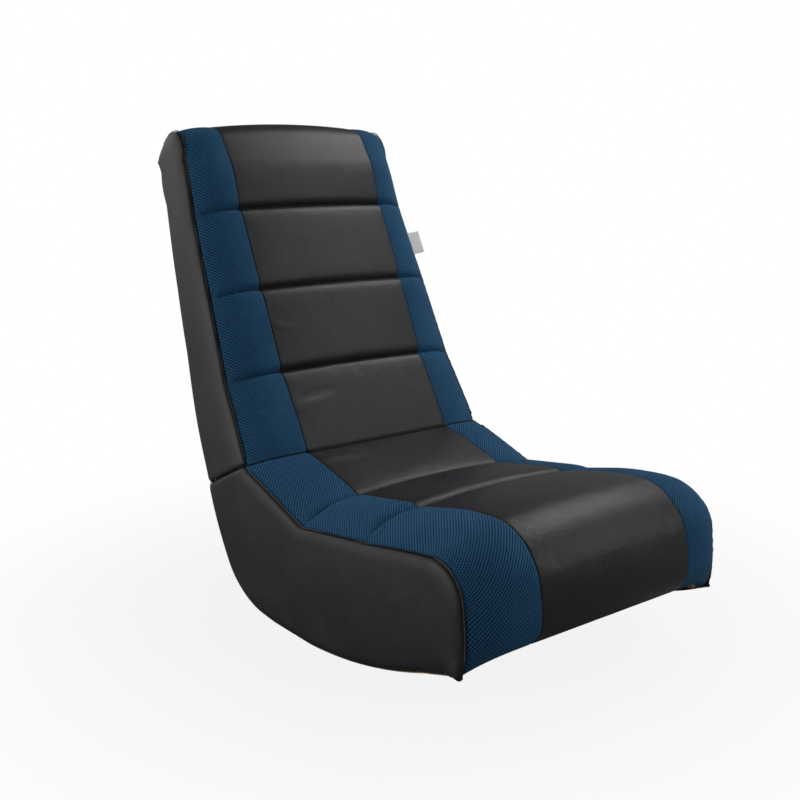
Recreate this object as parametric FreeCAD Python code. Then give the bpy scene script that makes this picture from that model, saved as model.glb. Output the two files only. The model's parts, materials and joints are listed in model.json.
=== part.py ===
import FreeCAD, Part
import math
import os

os.makedirs("parts", exist_ok=True)

# A folding floor rocker for gaming: a quilted seat on two curved runners, and a quilted back hinged to it.
# Millimetres and degrees. The origin is the middle of the flat that the runners rest on.
# The sitter faces -Y, +Z is up, and side outlines are drawn in the YZ plane and carried along X.

# Driving dimensions: widths across X
centre_half_width = 125.0
seat_panel_inner = 195.0
seat_panel_thickness = 15.0
back_panel_inner = 158.0
back_panel_thickness = 9.0
side_cover_thickness = 6.0
back_low_half_width = 211.0
back_top_half_width = 181.0

# Driving dimensions: the fold axis and the sewn channels in the side view
hinge_y = 88.0
hinge_z = 216.0
seat_channel = 126.0
seat_headings = (-17.8, 8.3)
back_channel = 122.0
back_headings = (56.0, 65.7, 64.7)
channel_puff = 9.0
fold_channel_puff = 7.0
edge_puff = 3.0
crown = 6.0
crown_shares = (-1.0, -0.5, 0.0, 0.5, 1.0)
strip_shares = (0.0, 0.3, 0.55, 0.8, 1.0)

# Driving dimensions: the rolls at the front of the seat and at the top of the back
nose_y = -290.0
nose_z = 146.0
nose_radius = 78.0
nose_heading = 11.0
nose_foot_y = -352.0
nose_foot_z = 88.0
foot_pad_depth = 13.0
foot_rise = 16.0
top_roll_y = 333.0
top_roll_z = 606.0
top_roll_radius = 50.0
top_roll_heading = 71.0

# Driving dimensions: how far the outer seams lie inside the middle of the seat and the back
seat_side_drop = 24.0
nose_side_drop = 30.0
back_side_drop = 25.0
top_side_drop = 8.0
fold_side_drop = 28.0
seam_foot_y = -338.0
seam_foot_z = 70.0

# Driving dimensions: the rocker
rocker_radius = 750.0
rest_flat_depth = 1.2
runner_front_y = -267.0
heel_y = 78.0
heel_radius = 120.0
heel_end_angle = 52.0
calf_bulge = 4.0

# Driving dimensions: the rear of the back
rear_shoulder_y = 364.0
rear_shoulder_z = 540.0
rear_waist_y = 292.0
rear_waist_z = 334.0
shoulder_bulge = 6.0
spine_bulge = 2.0
rump_bulge = 5.0

# Driving dimensions: the gap between seat and back
gap_angle = -25.5
gap_half = 0.5
gap_length = 141.0
gap_cover_thickness = 1.2

# Driving dimensions: padding and sheet thicknesses
seat_pad_depth = 28.0
nose_pad_depth = 34.0
back_pad_depth = 28.0
fold_pad_depth = 32.0
side_wrap = 3.0
wrap_width = 16.0
wrap_overrun = 20.0
wrap_foot_drop = 1.0
rear_cover_thickness = 2.5
rear_cover_room_top = 30.0
rear_cover_room_foot = 40.0
bottom_recess = 22.0
bottom_thickness = 5.0

# Driving dimensions: the wooden frame
rail_thickness = 20.0
hinge_rail_thickness = 18.0
hinge_rail_start = 36.0
hinge_rail_end = 118.0
seat_deck_z = 112.0
seat_deck_thickness = 9.0
seat_deck_front = -302.0
seat_deck_rear = 160.0
front_rail_height = 134.0
mid_rail_y = -80.0
rear_rail_y = 95.0
back_lean = 63.0
back_deck_depth = 54.0
back_deck_thickness = 4.0
back_deck_start = 72.0
back_deck_end = 448.0
back_mid_rail_at = 235.0
back_top_rail_at = 400.0

# Driving dimensions: hinges and fasteners
hinge_count = 2
hinge_x = 80.0
knuckle_length = 16.0
knuckle_count = 3
knuckle_gap = 0.4
knuckle_radius = 3.3
pin_radius = 1.5
pin_clearance = 0.05
leaf_length = 64.0
leaf_clearance = 0.3
leaf_screw_margin = 9.0
leaf_screw_side_margin = 9.6
fold_seam_radius = 3.5
soft_clearance = 0.3
screw_radius = 1.75
screw_head_radius = 3.2
screw_head_depth = 1.0
hinge_screw_length = 14.0
frame_screw_radius = 2.0
frame_screw_head_radius = 4.0
frame_screw_head_depth = 2.5
frame_screw_length = 40.0
staple_crown = 10.0
staple_wire = 0.8
staples_across = 5
hinge_rail_screws_at = (0.25, 0.75)

# Driving dimensions: the blank woven tag in the side seam
tag_length = 37.0
tag_thickness = 0.8
tag_at = 0.45
tag_outer = 205.0

# Worked out from the dimensions above
hinge_width = knuckle_count * knuckle_length + (knuckle_count - 1) * knuckle_gap
seat_half_width = seat_panel_inner + seat_panel_thickness + side_cover_thickness
seam_half_width = seat_half_width - side_cover_thickness
far_reach = 1000.0


# Plane geometry: points are (y, z) pairs
def step(point, length, angle):
    """The point that lies a length away along an angle measured up from +Y."""
    turn = math.radians(angle)
    return (point[0] + length * math.cos(turn), point[1] + length * math.sin(turn))


def between(a, b, share):
    """The point that lies a share of the way from a to b."""
    return (a[0] + (b[0] - a[0]) * share, a[1] + (b[1] - a[1]) * share)


def distance(a, b):
    return math.hypot(b[0] - a[0], b[1] - a[1])


def bulged_middle(a, b, bulge):
    """The middle of the arc from a to b, which swells by the bulge to the right of the way."""
    middle = between(a, b, 0.5)
    length = distance(a, b)
    return (
        middle[0] + bulge * (b[1] - a[1]) / length,
        middle[1] - bulge * (b[0] - a[0]) / length,
    )


def corner_normals(points):
    """The outward direction at each point of an anticlockwise line: to the right of the way."""
    normals = []
    last = len(points) - 1
    for i in range(len(points)):
        before = points[max(i - 1, 0)]
        after = points[min(i + 1, last)]
        length = distance(before, after)
        normals.append(((after[1] - before[1]) / length, (before[0] - after[0]) / length))
    return normals


def moved_out(points, amounts):
    """The points, each moved outward by its own amount."""
    normals = corner_normals(points)
    return [
        (p[0] + n[0] * amount, p[1] + n[1] * amount)
        for p, n, amount in zip(points, normals, amounts)
    ]


def turn_bulge(a, b, turn):
    """The bulge of the arc from a to b that turns through an angle."""
    return distance(a, b) / 2.0 * math.tan(math.radians(turn) / 4.0)


# Solids from outlines
def in_space(x, point):
    """The point at an x, which may also be a function of its height."""
    return FreeCAD.Vector(x(point[1]) if callable(x) else x, point[0], point[1])


def edges_at(x, points, bulges):
    """Edges through the points at one x: an arc where the bulge isn't zero, else a line."""
    edges = []
    for a, b, bulge in zip(points, points[1:], bulges):
        start = in_space(x, a)
        end = in_space(x, b)
        if bulge:
            middle = in_space(x, bulged_middle(a, b, bulge))
            edges.append(Part.Arc(start, middle, end).toShape())
        else:
            edges.append(Part.makeLine(start, end))
    return edges


def wire_at(x, points, bulges):
    closed_points = list(points) + [points[0]]
    closed_bulges = list(bulges) + [0.0]
    return Part.Wire(edges_at(x, closed_points, closed_bulges))


def prism(points, bulges, x_start, x_end):
    """The closed outline carried from one x to another."""
    face = Part.Face(wire_at(x_start, points, bulges))
    return face.extrude(FreeCAD.Vector(x_end - x_start, 0, 0))


def inset_prism(points, bulges, inset, x_start, x_end):
    """The closed outline, drawn in by the inset, carried from one x to another."""
    face = Part.Face(wire_at(x_start, points, bulges))
    smaller = face.makeOffset2D(-inset)
    return smaller.extrude(FreeCAD.Vector(x_end - x_start, 0, 0))


def block(x_span, y_span, z_span):
    corner = FreeCAD.Vector(x_span[0], y_span[0], z_span[0])
    return Part.makeBox(
        x_span[1] - x_span[0], y_span[1] - y_span[0], z_span[1] - z_span[0], corner
    )


def slanted_block(x_span, origin, angle, along_span, aside_span):
    """A block whose sides run along an angle from an origin, and square to it on its left."""
    corners = []
    for along, aside in (
        (along_span[0], aside_span[0]),
        (along_span[1], aside_span[0]),
        (along_span[1], aside_span[1]),
        (along_span[0], aside_span[1]),
    ):
        corners.append(step(step(origin, along, angle), aside, angle + 90.0))
    return prism(corners, [0.0] * 3, x_span[0], x_span[1])


def rod_along_x(centre, radius, x_start, x_end):
    direction = FreeCAD.Vector(1, 0, 0)
    return Part.makeCylinder(radius, x_end - x_start, in_space(x_start, centre), direction)


def joined(shapes):
    """The shapes fused into one."""
    result = shapes[0]
    for shape in shapes[1:]:
        result = result.fuse(shape)
    return result.removeSplitter()


def mirrored(shape):
    return shape.mirror(FreeCAD.Vector(0, 0, 0), FreeCAD.Vector(1, 0, 0))


def save(name, shapes):
    """Write the solids of the shapes as one node."""
    solids = []
    for shape in shapes:
        solids.extend(shape.Solids)
    Part.makeCompound(solids).exportStep("parts/" + name + ".step")


def save_pair(name, shapes):
    """Write a left and a right node from shapes on the sitter's left, which is +X."""
    save(name + "_left", shapes)
    save(name + "_right", [mirrored(shape) for shape in shapes])


# The side view: the middle line of the seat and of the back
hinge = (hinge_y, hinge_z)
gap_mouth = step(hinge, gap_length, gap_angle)
nose = (nose_y, nose_z)
top_roll = (top_roll_y, top_roll_z)


def seat_line():
    """The grooves of the seat from the fold forward, then the nose down to its foot."""
    points = [hinge]
    for heading in seat_headings:
        points.append(step(points[-1], seat_channel, 180.0 - heading))
    points.append(step(nose, nose_radius, 90.0 - nose_heading))
    points.append(step(nose, nose_radius, 180.0))
    points.append((nose_foot_y, nose_foot_z))
    return points


def seat_seam():
    """The outer seam of the seat, which lies lower than its middle."""
    line = seat_line()
    start = step(hinge, fold_side_drop, gap_angle)
    grooves = moved_out(line, [-seat_side_drop] * len(line))[1:3]
    small = nose_radius - nose_side_drop
    crest = step(nose, small, 90.0 - nose_heading)
    front = step(nose, small, 180.0)
    return [start] + grooves + [crest, front, (seam_foot_y, seam_foot_z)]


def seat_bulges(points, puff, fold_puff):
    """The swell of each stretch of a seat line: its channels, the nose and the foot."""
    nose_turn = 90.0 + nose_heading
    return [fold_puff, puff, puff / 2.0, turn_bulge(points[3], points[4], nose_turn), puff]


def back_line():
    """The back from its rear seam over the top roll, then down its grooves to the fold."""
    grooves = [hinge]
    for heading in back_headings:
        grooves.append(step(grooves[-1], back_channel, heading))
    grooves.reverse()
    rear = step(top_roll, top_roll_radius, 0.0)
    top = step(top_roll, top_roll_radius, 90.0)
    front = step(top_roll, top_roll_radius, 90.0 + top_roll_heading)
    return [rear, top, front] + grooves


def back_seam():
    """The outer seam of the back, which lies a little behind its middle."""
    line = back_line()
    drops = [0.0, -top_side_drop] + [-back_side_drop] * (len(line) - 2)
    points = moved_out(line, drops)
    points[-1] = step(hinge, fold_side_drop, gap_angle)
    return points


def back_bulges(points, puff, fold_puff):
    """The swell of each stretch of a back line: the top roll, then its channels."""
    rear_arc = turn_bulge(points[0], points[1], 90.0)
    front_arc = turn_bulge(points[1], points[2], top_roll_heading)
    return [rear_arc, front_arc, puff, puff, puff, fold_puff]


def seat_pad_floor():
    """The underside of the seat pads, from the foot of the nose back to the gap."""
    line = seat_line()
    grooves = moved_out(line, [-seat_pad_depth] * len(line))[1:3]
    small = nose_radius - nose_pad_depth
    crest = step(nose, small, 90.0 - nose_heading)
    front = step(nose, small, 180.0)
    foot = (seam_foot_y + foot_pad_depth, seam_foot_z + foot_rise)
    points = [foot, front, crest] + grooves[::-1] + [step(hinge, fold_pad_depth, gap_angle)]
    bulges = [0.0, -turn_bulge(front, crest, 90.0 + nose_heading), 0.0, 0.0, 0.0]
    return points, bulges


def back_pad_floor():
    """The underside of the back pads, from the gap up and over the top roll."""
    line = back_line()
    points = moved_out(line, [-back_pad_depth] * len(line))
    small = top_roll_radius - back_pad_depth
    points[:3] = [
        step(top_roll, small, 0.0),
        step(top_roll, small, 90.0),
        step(top_roll, small, 90.0 + top_roll_heading),
    ]
    points[-1] = step(hinge, fold_pad_depth, gap_angle)
    bulges = back_bulges(points, 0.0, 0.0)
    return points[::-1], [-bulge for bulge in reversed(bulges)]


def runner_line():
    """The underside from the foot of the front seam back to the gap, resting on a short flat."""
    centre = (0.0, rocker_radius - rest_flat_depth)
    flat = math.sqrt(rocker_radius**2 - centre[1] ** 2)
    front = (runner_front_y, centre[1] - math.sqrt(rocker_radius**2 - runner_front_y**2))
    heel = (heel_y, centre[1] - math.sqrt(rocker_radius**2 - heel_y**2))
    heel_angle = math.degrees(math.asin(heel_y / rocker_radius))
    heel_centre = step(heel, heel_radius, heel_angle + 90.0)
    calf = step(heel_centre, heel_radius, heel_end_angle - 90.0)
    points = [(seam_foot_y, seam_foot_z), front, (-flat, 0.0), (flat, 0.0), heel, calf, gap_mouth]
    front_turn = math.asin(-runner_front_y / rocker_radius) - math.asin(flat / rocker_radius)
    rear_turn = math.asin(heel_y / rocker_radius) - math.asin(flat / rocker_radius)
    heel_turn = math.radians(heel_end_angle - heel_angle)
    bulges = [
        0.0,
        rocker_radius * (1.0 - math.cos(front_turn / 2.0)),
        0.0,
        rocker_radius * (1.0 - math.cos(rear_turn / 2.0)),
        heel_radius * (1.0 - math.cos(heel_turn / 2.0)),
        calf_bulge,
    ]
    return points, bulges


def rear_line():
    """The rear of the back from the gap up to the seam behind the top roll."""
    points = [
        gap_mouth,
        (rear_waist_y, rear_waist_z),
        (rear_shoulder_y, rear_shoulder_z),
        step(top_roll, top_roll_radius, 0.0),
    ]
    return points, [rump_bulge, spine_bulge, shoulder_bulge]


def seat_outline():
    """The side view of the seat's side cover."""
    seam = seat_seam()
    bottom_points, bottom_bulges = runner_line()
    return seam + bottom_points[1:], seat_bulges(seam, edge_puff, edge_puff) + bottom_bulges


def back_outline():
    """The side view of the back's side cover."""
    seam = back_seam()
    rear_points, rear_bulges = rear_line()
    return rear_points[:-1] + seam, rear_bulges + back_bulges(seam, edge_puff, edge_puff)


def above_runner(inset, x_start, x_end):
    """All the space above and in front of the runner line, drawn in from it by the inset."""
    points, bulges = runner_line()
    front_slope = math.atan2(points[0][1] - points[1][1], points[0][0] - points[1][0])
    front = step(points[0], rocker_radius, math.degrees(front_slope))
    rear = step(points[-1], rocker_radius, 90.0)
    outline = [front] + points + [rear]
    return inset_prism(outline, [0.0] + bulges + [0.0], inset, x_start, x_end)


def seat_core(inset, x_start, x_end):
    """All of the seat under its pads, drawn in from the runner line by the inset."""
    points, bulges = seat_pad_floor()
    beyond = [(far_reach, points[-1][1]), (far_reach, -far_reach), (points[0][0], -far_reach)]
    under_pads = prism(points + beyond, bulges + [0.0, 0.0, 0.0], x_start, x_end)
    below_gap = gap_block((x_start, x_end), (-far_reach, far_reach), -1, (0.0, far_reach))
    return above_runner(inset, x_start, x_end).common(under_pads).common(below_gap)


def back_core(inset, x_start, x_end):
    """All of the back under its pads, drawn in from the rear by the inset."""
    points, bulges = back_pad_floor()
    beyond = [(far_reach, points[-1][1]), (far_reach, points[0][1])]
    under_pads = prism(points + beyond, bulges + [0.0, 0.0], x_start, x_end)
    whole = inset_prism(*back_outline(), inset, x_start, x_end)
    return whole.common(under_pads)


# The fold: what each side of the gap leaves clear
def gap_slab(half_thickness):
    reach = (-fold_seam_radius, far_reach)
    across = (-half_thickness, half_thickness)
    return slanted_block((-far_reach, far_reach), hinge, gap_angle, reach, across)


def fold_tunnel():
    radius = fold_seam_radius + soft_clearance
    return rod_along_x(hinge, radius, -far_reach, far_reach)


covered_gap = gap_half + gap_cover_thickness


def clear_of_gap(shape, half_thickness=covered_gap):
    return shape.cut(gap_slab(half_thickness)).cut(fold_tunnel())


def gap_block(x_span, along_span, side, depth_span):
    """A block along the gap; side is 1 for the back's side of it and -1 for the seat's."""
    aside = sorted((side * depth_span[0], side * depth_span[1]))
    return slanted_block(x_span, hinge, gap_angle, along_span, aside)


def leaf_windows(side):
    """The room that the hinge leaves take up on one side of the gap."""
    half = hinge_width / 2.0 + leaf_clearance
    reach = (0.0, leaf_length + leaf_clearance)
    return [
        gap_block((middle - half, middle + half), reach, side, (0.0, covered_gap))
        for middle in hinge_middles()
    ]


# The front view of the back, which draws in towards its top
def back_half_width(height):
    """Half the width of the back at a height."""
    share = (height - hinge_z) / (top_roll_z + top_roll_radius - hinge_z)
    return back_low_half_width + (back_top_half_width - back_low_half_width) * share


def back_front_view(inset):
    """The front view of the back carried along Y, drawn in by the inset at its sides."""
    corners = []
    for side, height in ((-1, 0.0), (1, 0.0), (1, far_reach), (-1, far_reach)):
        x = side * (back_half_width(height) - inset)
        corners.append(FreeCAD.Vector(x, -far_reach, height))
    wire = Part.makePolygon(corners + [corners[0]])
    return Part.Face(wire).extrude(FreeCAD.Vector(0, 2.0 * far_reach, 0))


# The quilted pads
def pad_wire(x, surface, bulges, floor):
    floor_points, floor_bulges = floor
    return wire_at(x, surface + floor_points, bulges + [0.0] + floor_bulges)


def centre_pad(line, bulges_of, floor):
    """A pad from one blue strip to the other, raised most along its middle."""
    wires = []
    inner_points = len(line) - 2
    for share in crown_shares:
        lift = crown * (1.0 - share**2)
        surface = moved_out(line, [0.0] + [lift] * inner_points + [0.0])
        bulges = bulges_of(surface, channel_puff, fold_channel_puff)
        wires.append(pad_wire(share * centre_half_width, surface, bulges, floor))
    return Part.makeLoft(wires, True, False)


def side_pad(line, seam, bulges_of, floor, seam_x):
    """A strip from the middle pad out to the seam, falling away faster near the seam."""
    wires = []
    for share in strip_shares:
        fall = share**3
        surface = [between(a, b, fall) for a, b in zip(line, seam)]
        puff = channel_puff + (edge_puff - channel_puff) * fall
        fold_puff = fold_channel_puff + (edge_puff - fold_channel_puff) * fall
        bulges = bulges_of(surface, puff, fold_puff)
        wires.append(pad_wire(strip_x(seam_x, share), surface, bulges, floor))
    return Part.makeLoft(wires, True, False)


def strip_x(seam_x, share):
    """The x at a share of the way across a strip, as a function of height."""
    return lambda height: centre_half_width + (seam_x(height) - centre_half_width) * share


def seat_seam_x(height):
    return seam_half_width


def back_seam_x(height):
    return back_half_width(height) - side_cover_thickness


def build_seat_pads():
    line = seat_line()
    floor = seat_pad_floor()
    centre = without(centre_pad(line, seat_bulges, floor), leaf_windows(-1))
    save("seat_centre_pad", [clear_of_gap(centre, gap_half)])
    strip = side_pad(line, seat_seam(), seat_bulges, floor, seat_seam_x)
    save_pair("seat_mesh", [clear_of_gap(strip, gap_half)])


def build_back_pads():
    line = back_line()
    floor = back_pad_floor()
    centre = without(centre_pad(line, back_bulges, floor), leaf_windows(1))
    save("back_centre_pad", [clear_of_gap(centre, gap_half)])
    strip = side_pad(line, back_seam(), back_bulges, floor, back_seam_x)
    save_pair("back_mesh", [clear_of_gap(strip, gap_half)])


# The padded sides
def seat_wrap(outline):
    """The lower edge of the side cover, turned in under the runner."""
    x_start = seam_half_width - wrap_width
    band = prism(*outline, x_start, seam_half_width).cut(
        inset_prism(*outline, side_wrap, x_start, seam_half_width)
    )
    low = [
        (seam_foot_y - wrap_overrun, seam_foot_z - wrap_foot_drop),
        (gap_mouth[0] + wrap_overrun, gap_mouth[1] - side_wrap),
        (far_reach, -far_reach),
        (-far_reach, -far_reach),
    ]
    return band.common(prism(low, [0.0] * 3, x_start, seam_half_width))


def build_side_covers():
    outline = seat_outline()
    seat_side = prism(*outline, seam_half_width, seat_half_width)
    save_pair("seat_side_cover", [joined([seat_side, seat_wrap(outline)]).cut(gap_slab(gap_half))])
    band = prism(*back_outline(), back_panel_inner, seat_half_width)
    band = band.common(back_front_view(0.0)).cut(back_front_view(side_cover_thickness))
    save_pair("back_side_cover", [band.cut(gap_slab(gap_half))])


# The frame of the seat
def seat_rail_holes():
    """Where the frame screws of the seat enter the side panels."""
    middle = hinge_rail_thickness / 2.0 + covered_gap
    front = seat_deck_front - rail_thickness / 2.0
    rib_z = seat_deck_z - rail_thickness
    places = [(front, front_rail_height - rail_thickness)]
    places.append((mid_rail_y + rail_thickness / 2.0, rib_z))
    places.append((rear_rail_y + rail_thickness / 2.0, rib_z))
    for along in hinge_rail_screws_at:
        reach = hinge_rail_start + (hinge_rail_end - hinge_rail_start) * along
        places.append(step(step(hinge, reach, gap_angle), middle, gap_angle - 90.0))
    return places


def back_frame_point(along, depth):
    """A point of the back, along its lean from the hinge and behind its front."""
    return step(step(hinge, along, back_lean), depth, back_lean - 90.0)


def back_rail_holes():
    """Where the frame screws of the back enter the side panels."""
    middle = hinge_rail_thickness / 2.0 + covered_gap
    places = []
    for at in (back_mid_rail_at, back_top_rail_at):
        depth = back_deck_depth + back_deck_thickness + rail_thickness / 2.0
        places.append(back_frame_point(at + rail_thickness / 2.0, depth))
    for along in hinge_rail_screws_at:
        reach = hinge_rail_start + (hinge_rail_end - hinge_rail_start) * along
        places.append(step(step(hinge, reach, gap_angle), middle, gap_angle + 90.0))
    return places


def frame_screws(places, panel_outer):
    """Flat-headed screws from the panel's outer face into the rails."""
    screws = []
    for place in places:
        head_start = panel_outer - frame_screw_head_depth
        head = rod_along_x(place, frame_screw_head_radius, head_start, panel_outer)
        shank_start = panel_outer - frame_screw_length
        shank = rod_along_x(place, frame_screw_radius, shank_start, panel_outer)
        screws.append(joined([head, shank]))
    return screws


def without(shape, tools):
    for tool in tools:
        shape = shape.cut(tool)
    return shape


def on_both_sides(shapes):
    return shapes + [mirrored(shape) for shape in shapes]


def full_width(half_width):
    return (-half_width, half_width)


def hinge_rail_block(half_width, side):
    """The rail behind the hinge leaves on one side of the gap."""
    return gap_block(
        full_width(half_width),
        (hinge_rail_start, hinge_rail_end),
        side,
        (covered_gap, covered_gap + hinge_rail_thickness),
    )


def build_seat_frame():
    inner = seat_panel_inner
    outer = seat_panel_inner + seat_panel_thickness
    screws = frame_screws(seat_rail_holes(), outer)
    both = on_both_sides(screws)
    panel = clear_of_gap(seat_core(side_wrap, inner, outer))
    save_pair("seat_side_panel", [without(panel, screws)])
    save("seat_frame_screws", both)

    under = bottom_recess + bottom_thickness
    room = seat_core(under, -inner, inner)
    hinge_rail = hinge_rail_block(inner, -1)
    front_start = seat_deck_front - rail_thickness
    front_rail = block(full_width(inner), (front_start, seat_deck_front), (0.0, front_rail_height))
    front_rail = front_rail.common(room)
    deck = block(
        full_width(inner),
        (seat_deck_front, seat_deck_rear),
        (seat_deck_z, seat_deck_z + seat_deck_thickness),
    )
    ribs = []
    for rib_y in (mid_rail_y, rear_rail_y):
        rib = block(full_width(inner), (rib_y, rib_y + rail_thickness), (0.0, seat_deck_z))
        ribs.append(rib.common(room))
    hinge_screws = hinge_screw_set(-1)
    save("seat_front_rail", [without(front_rail, both)])
    save("seat_mid_rail", [without(ribs[0], both)])
    save("seat_rear_rail", [without(ribs[1], both)])
    save("seat_hinge_rail", [without(hinge_rail, both + hinge_screws)])
    save("seat_deck", [deck])
    hollow = block(
        full_width(inner), (seat_deck_front, far_reach), (-far_reach, seat_deck_z + seat_deck_thickness)
    )
    rail_depth = covered_gap + hinge_rail_thickness
    under_rail = gap_block(
        full_width(inner), (hinge_rail_start, far_reach), -1, (rail_depth, far_reach)
    )
    foam = without(room, [hollow, under_rail, hinge_rail, front_rail] + hinge_screws)
    foam = clear_of_gap(foam)
    save("seat_foam_core", [largest(foam)])


def largest(shape):
    return max(shape.Solids, key=lambda solid: solid.Volume)


def build_bottom_cover():
    """The board that closes the underside between the runners, and its staples."""
    inner = seat_panel_inner
    board = above_runner(bottom_recess, -inner, inner).cut(
        above_runner(bottom_recess + bottom_thickness, -inner, inner)
    )
    floor = seat_pad_floor()[0]
    rail_end = step(step(hinge, hinge_rail_end, gap_angle), covered_gap, gap_angle - 90.0)
    low = [
        (floor[0][0], floor[0][1]),
        (0.0, floor[0][1]),
        rail_end,
        (far_reach, rail_end[1]),
        (far_reach, -far_reach),
        (floor[0][0], -far_reach),
    ]
    board = board.common(prism(low, [0.0] * 5, -inner, inner))
    board = largest(board.cut(hinge_rail_block(inner, -1)))
    staples = build_staples(board)
    save("seat_bottom_board", [without(board, staples)])
    save("bottom_staples", staples)


def build_staples(board):
    """Staples across the board under the middle rib of the seat."""
    staples = []
    rib_middle = mid_rail_y + rail_thickness / 2.0
    centre_height = rocker_radius - rest_flat_depth
    under = centre_height - math.sqrt((rocker_radius - bottom_recess) ** 2 - rib_middle**2)
    spacing = 2.0 * (seat_panel_inner - rail_thickness) / (staples_across - 1)
    for i in range(staples_across):
        x = spacing * (i - (staples_across - 1) / 2.0)
        half = staple_crown / 2.0
        y_span = (rib_middle - staple_wire / 2.0, rib_middle + staple_wire / 2.0)
        bridge = block((x - half, x + half), y_span, (under - staple_wire, under))
        legs = []
        for side in (-1, 1):
            edges = sorted((x + side * half, x + side * (half - staple_wire)))
            legs.append(block(edges, y_span, (under - staple_wire, under + bottom_thickness)))
        staples.append(joined([bridge] + legs))
    return staples


# The frame of the back
def build_back_frame():
    inner = back_panel_inner
    outer = back_panel_inner + back_panel_thickness
    screws = frame_screws(back_rail_holes(), outer)
    both = on_both_sides(screws)
    panel = clear_of_gap(back_core(rear_cover_thickness, inner, outer))
    save_pair("back_side_panel", [without(panel, screws)])
    save("back_frame_screws", both)

    room = back_core(rear_cover_thickness, -inner, inner)
    behind_deck = back_deck_depth + back_deck_thickness
    hinge_rail = hinge_rail_block(inner, 1)
    rails = []
    for at in (back_mid_rail_at, back_top_rail_at):
        rail = back_block(full_width(inner), (at, at + rail_thickness), (behind_deck, far_reach))
        rails.append(rail.common(room))
    deck = back_block(
        full_width(inner), (back_deck_start, back_deck_end), (back_deck_depth, behind_deck)
    )
    hinge_screws = hinge_screw_set(1)
    save("back_mid_rail", [without(rails[0], both)])
    save("back_top_rail", [without(rails[1], both)])
    save("back_hinge_rail", [without(hinge_rail, both + hinge_screws)])
    save("back_deck", [deck])
    hollow_end = back_top_rail_at + rail_thickness
    hollow = back_block(full_width(inner), (back_deck_start, hollow_end), (back_deck_depth, far_reach))
    tail = back_block(full_width(inner), (hollow_end, back_deck_end), (back_deck_depth, behind_deck))
    foam = clear_of_gap(without(room, [hollow, tail, hinge_rail] + hinge_screws))
    save("back_foam_core", [foam])
    side_foam = back_core(rear_cover_thickness, outer, seam_half_width)
    side_foam = side_foam.common(back_front_view(side_cover_thickness))
    save_pair("back_side_foam", [clear_of_gap(side_foam)])


def back_block(x_span, along_span, depth_span):
    """A block along the lean of the back, measured from the hinge and behind its front."""
    aside = (-depth_span[1], -depth_span[0])
    return slanted_block(x_span, hinge, back_lean, along_span, aside)


def build_rear_cover():
    """The vinyl over the rear of the back, from the gap up to the seam behind the top roll."""
    inner = seam_half_width
    outline = back_outline()
    sheet = prism(*outline, -inner, inner).cut(
        inset_prism(*outline, rear_cover_thickness, -inner, inner)
    )
    points = rear_line()[0]
    foot = step(points[0], rear_cover_thickness, gap_angle + 90.0)
    top = between(top_roll, points[-1], 0.5)
    behind = [
        foot,
        (far_reach, foot[1]),
        (far_reach, points[-1][1]),
        top,
        back_frame_point(back_mid_rail_at, back_deck_depth + rear_cover_room_top),
        back_frame_point(hinge_rail_end, back_deck_depth + rear_cover_room_foot),
    ]
    sheet = sheet.common(prism(behind, [0.0] * 5, -inner, inner))
    sheet = sheet.common(back_front_view(side_cover_thickness))
    save("back_rear_cover", [largest(clear_of_gap(sheet, gap_half))])


# The fold: covers, hinges and the sewn seam between them
def hinge_middles():
    """The x of the middle of each hinge."""
    first = -hinge_x
    spacing = 2.0 * hinge_x / (hinge_count - 1)
    return [first + spacing * i for i in range(hinge_count)]


def knuckle_span(middle, index):
    start = middle - hinge_width / 2.0 + index * (knuckle_length + knuckle_gap)
    return (start, start + knuckle_length)


def leaf(middle, side):
    """One leaf of a hinge with its knuckles, bored for the pin."""
    ends = (middle - hinge_width / 2.0, middle + hinge_width / 2.0)
    plate = gap_block(ends, (0.0, leaf_length), side, (gap_half, covered_gap))
    indices = [i for i in range(knuckle_count) if (i % 2 == 0) == (side < 0)]
    others = [i for i in range(knuckle_count) if i not in indices]
    room = knuckle_radius + leaf_clearance
    for index in others:
        start, end = knuckle_span(middle, index)
        opening = rod_along_x(hinge, room, start - knuckle_gap, end + knuckle_gap)
        plate = plate.cut(opening)
    knuckles = []
    for index in indices:
        start, end = knuckle_span(middle, index)
        knuckles.append(rod_along_x(hinge, knuckle_radius, start, end))
    bore_ends = (ends[0] - knuckle_gap, ends[1] + knuckle_gap)
    bore = rod_along_x(hinge, pin_radius + pin_clearance, *bore_ends)
    return joined([plate] + knuckles).cut(bore)


def screw_places(middle):
    """The x and the distance along the leaf of each screw of a hinge."""
    edge = hinge_width / 2.0 - leaf_screw_side_margin
    near = hinge_rail_start + leaf_screw_margin
    far = leaf_length - leaf_screw_margin
    return [(middle - edge, far), (middle, near), (middle + edge, far)]


def hinge_screw_set(side):
    """Countersunk screws, flush with the leaf, through it into the hinge rail."""
    screws = []
    outward = gap_angle + 90.0 * side
    turn = math.radians(outward)
    direction = FreeCAD.Vector(0, math.cos(turn), math.sin(turn))
    for middle in hinge_middles():
        for x, along in screw_places(middle):
            base = step(step(hinge, along, gap_angle), gap_half, outward)
            head = Part.makeCone(
                screw_head_radius, screw_radius, screw_head_depth, in_space(x, base), direction
            )
            shank = Part.makeCylinder(screw_radius, hinge_screw_length, in_space(x, base), direction)
            screws.append(joined([head, shank]))
    return screws


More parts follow.
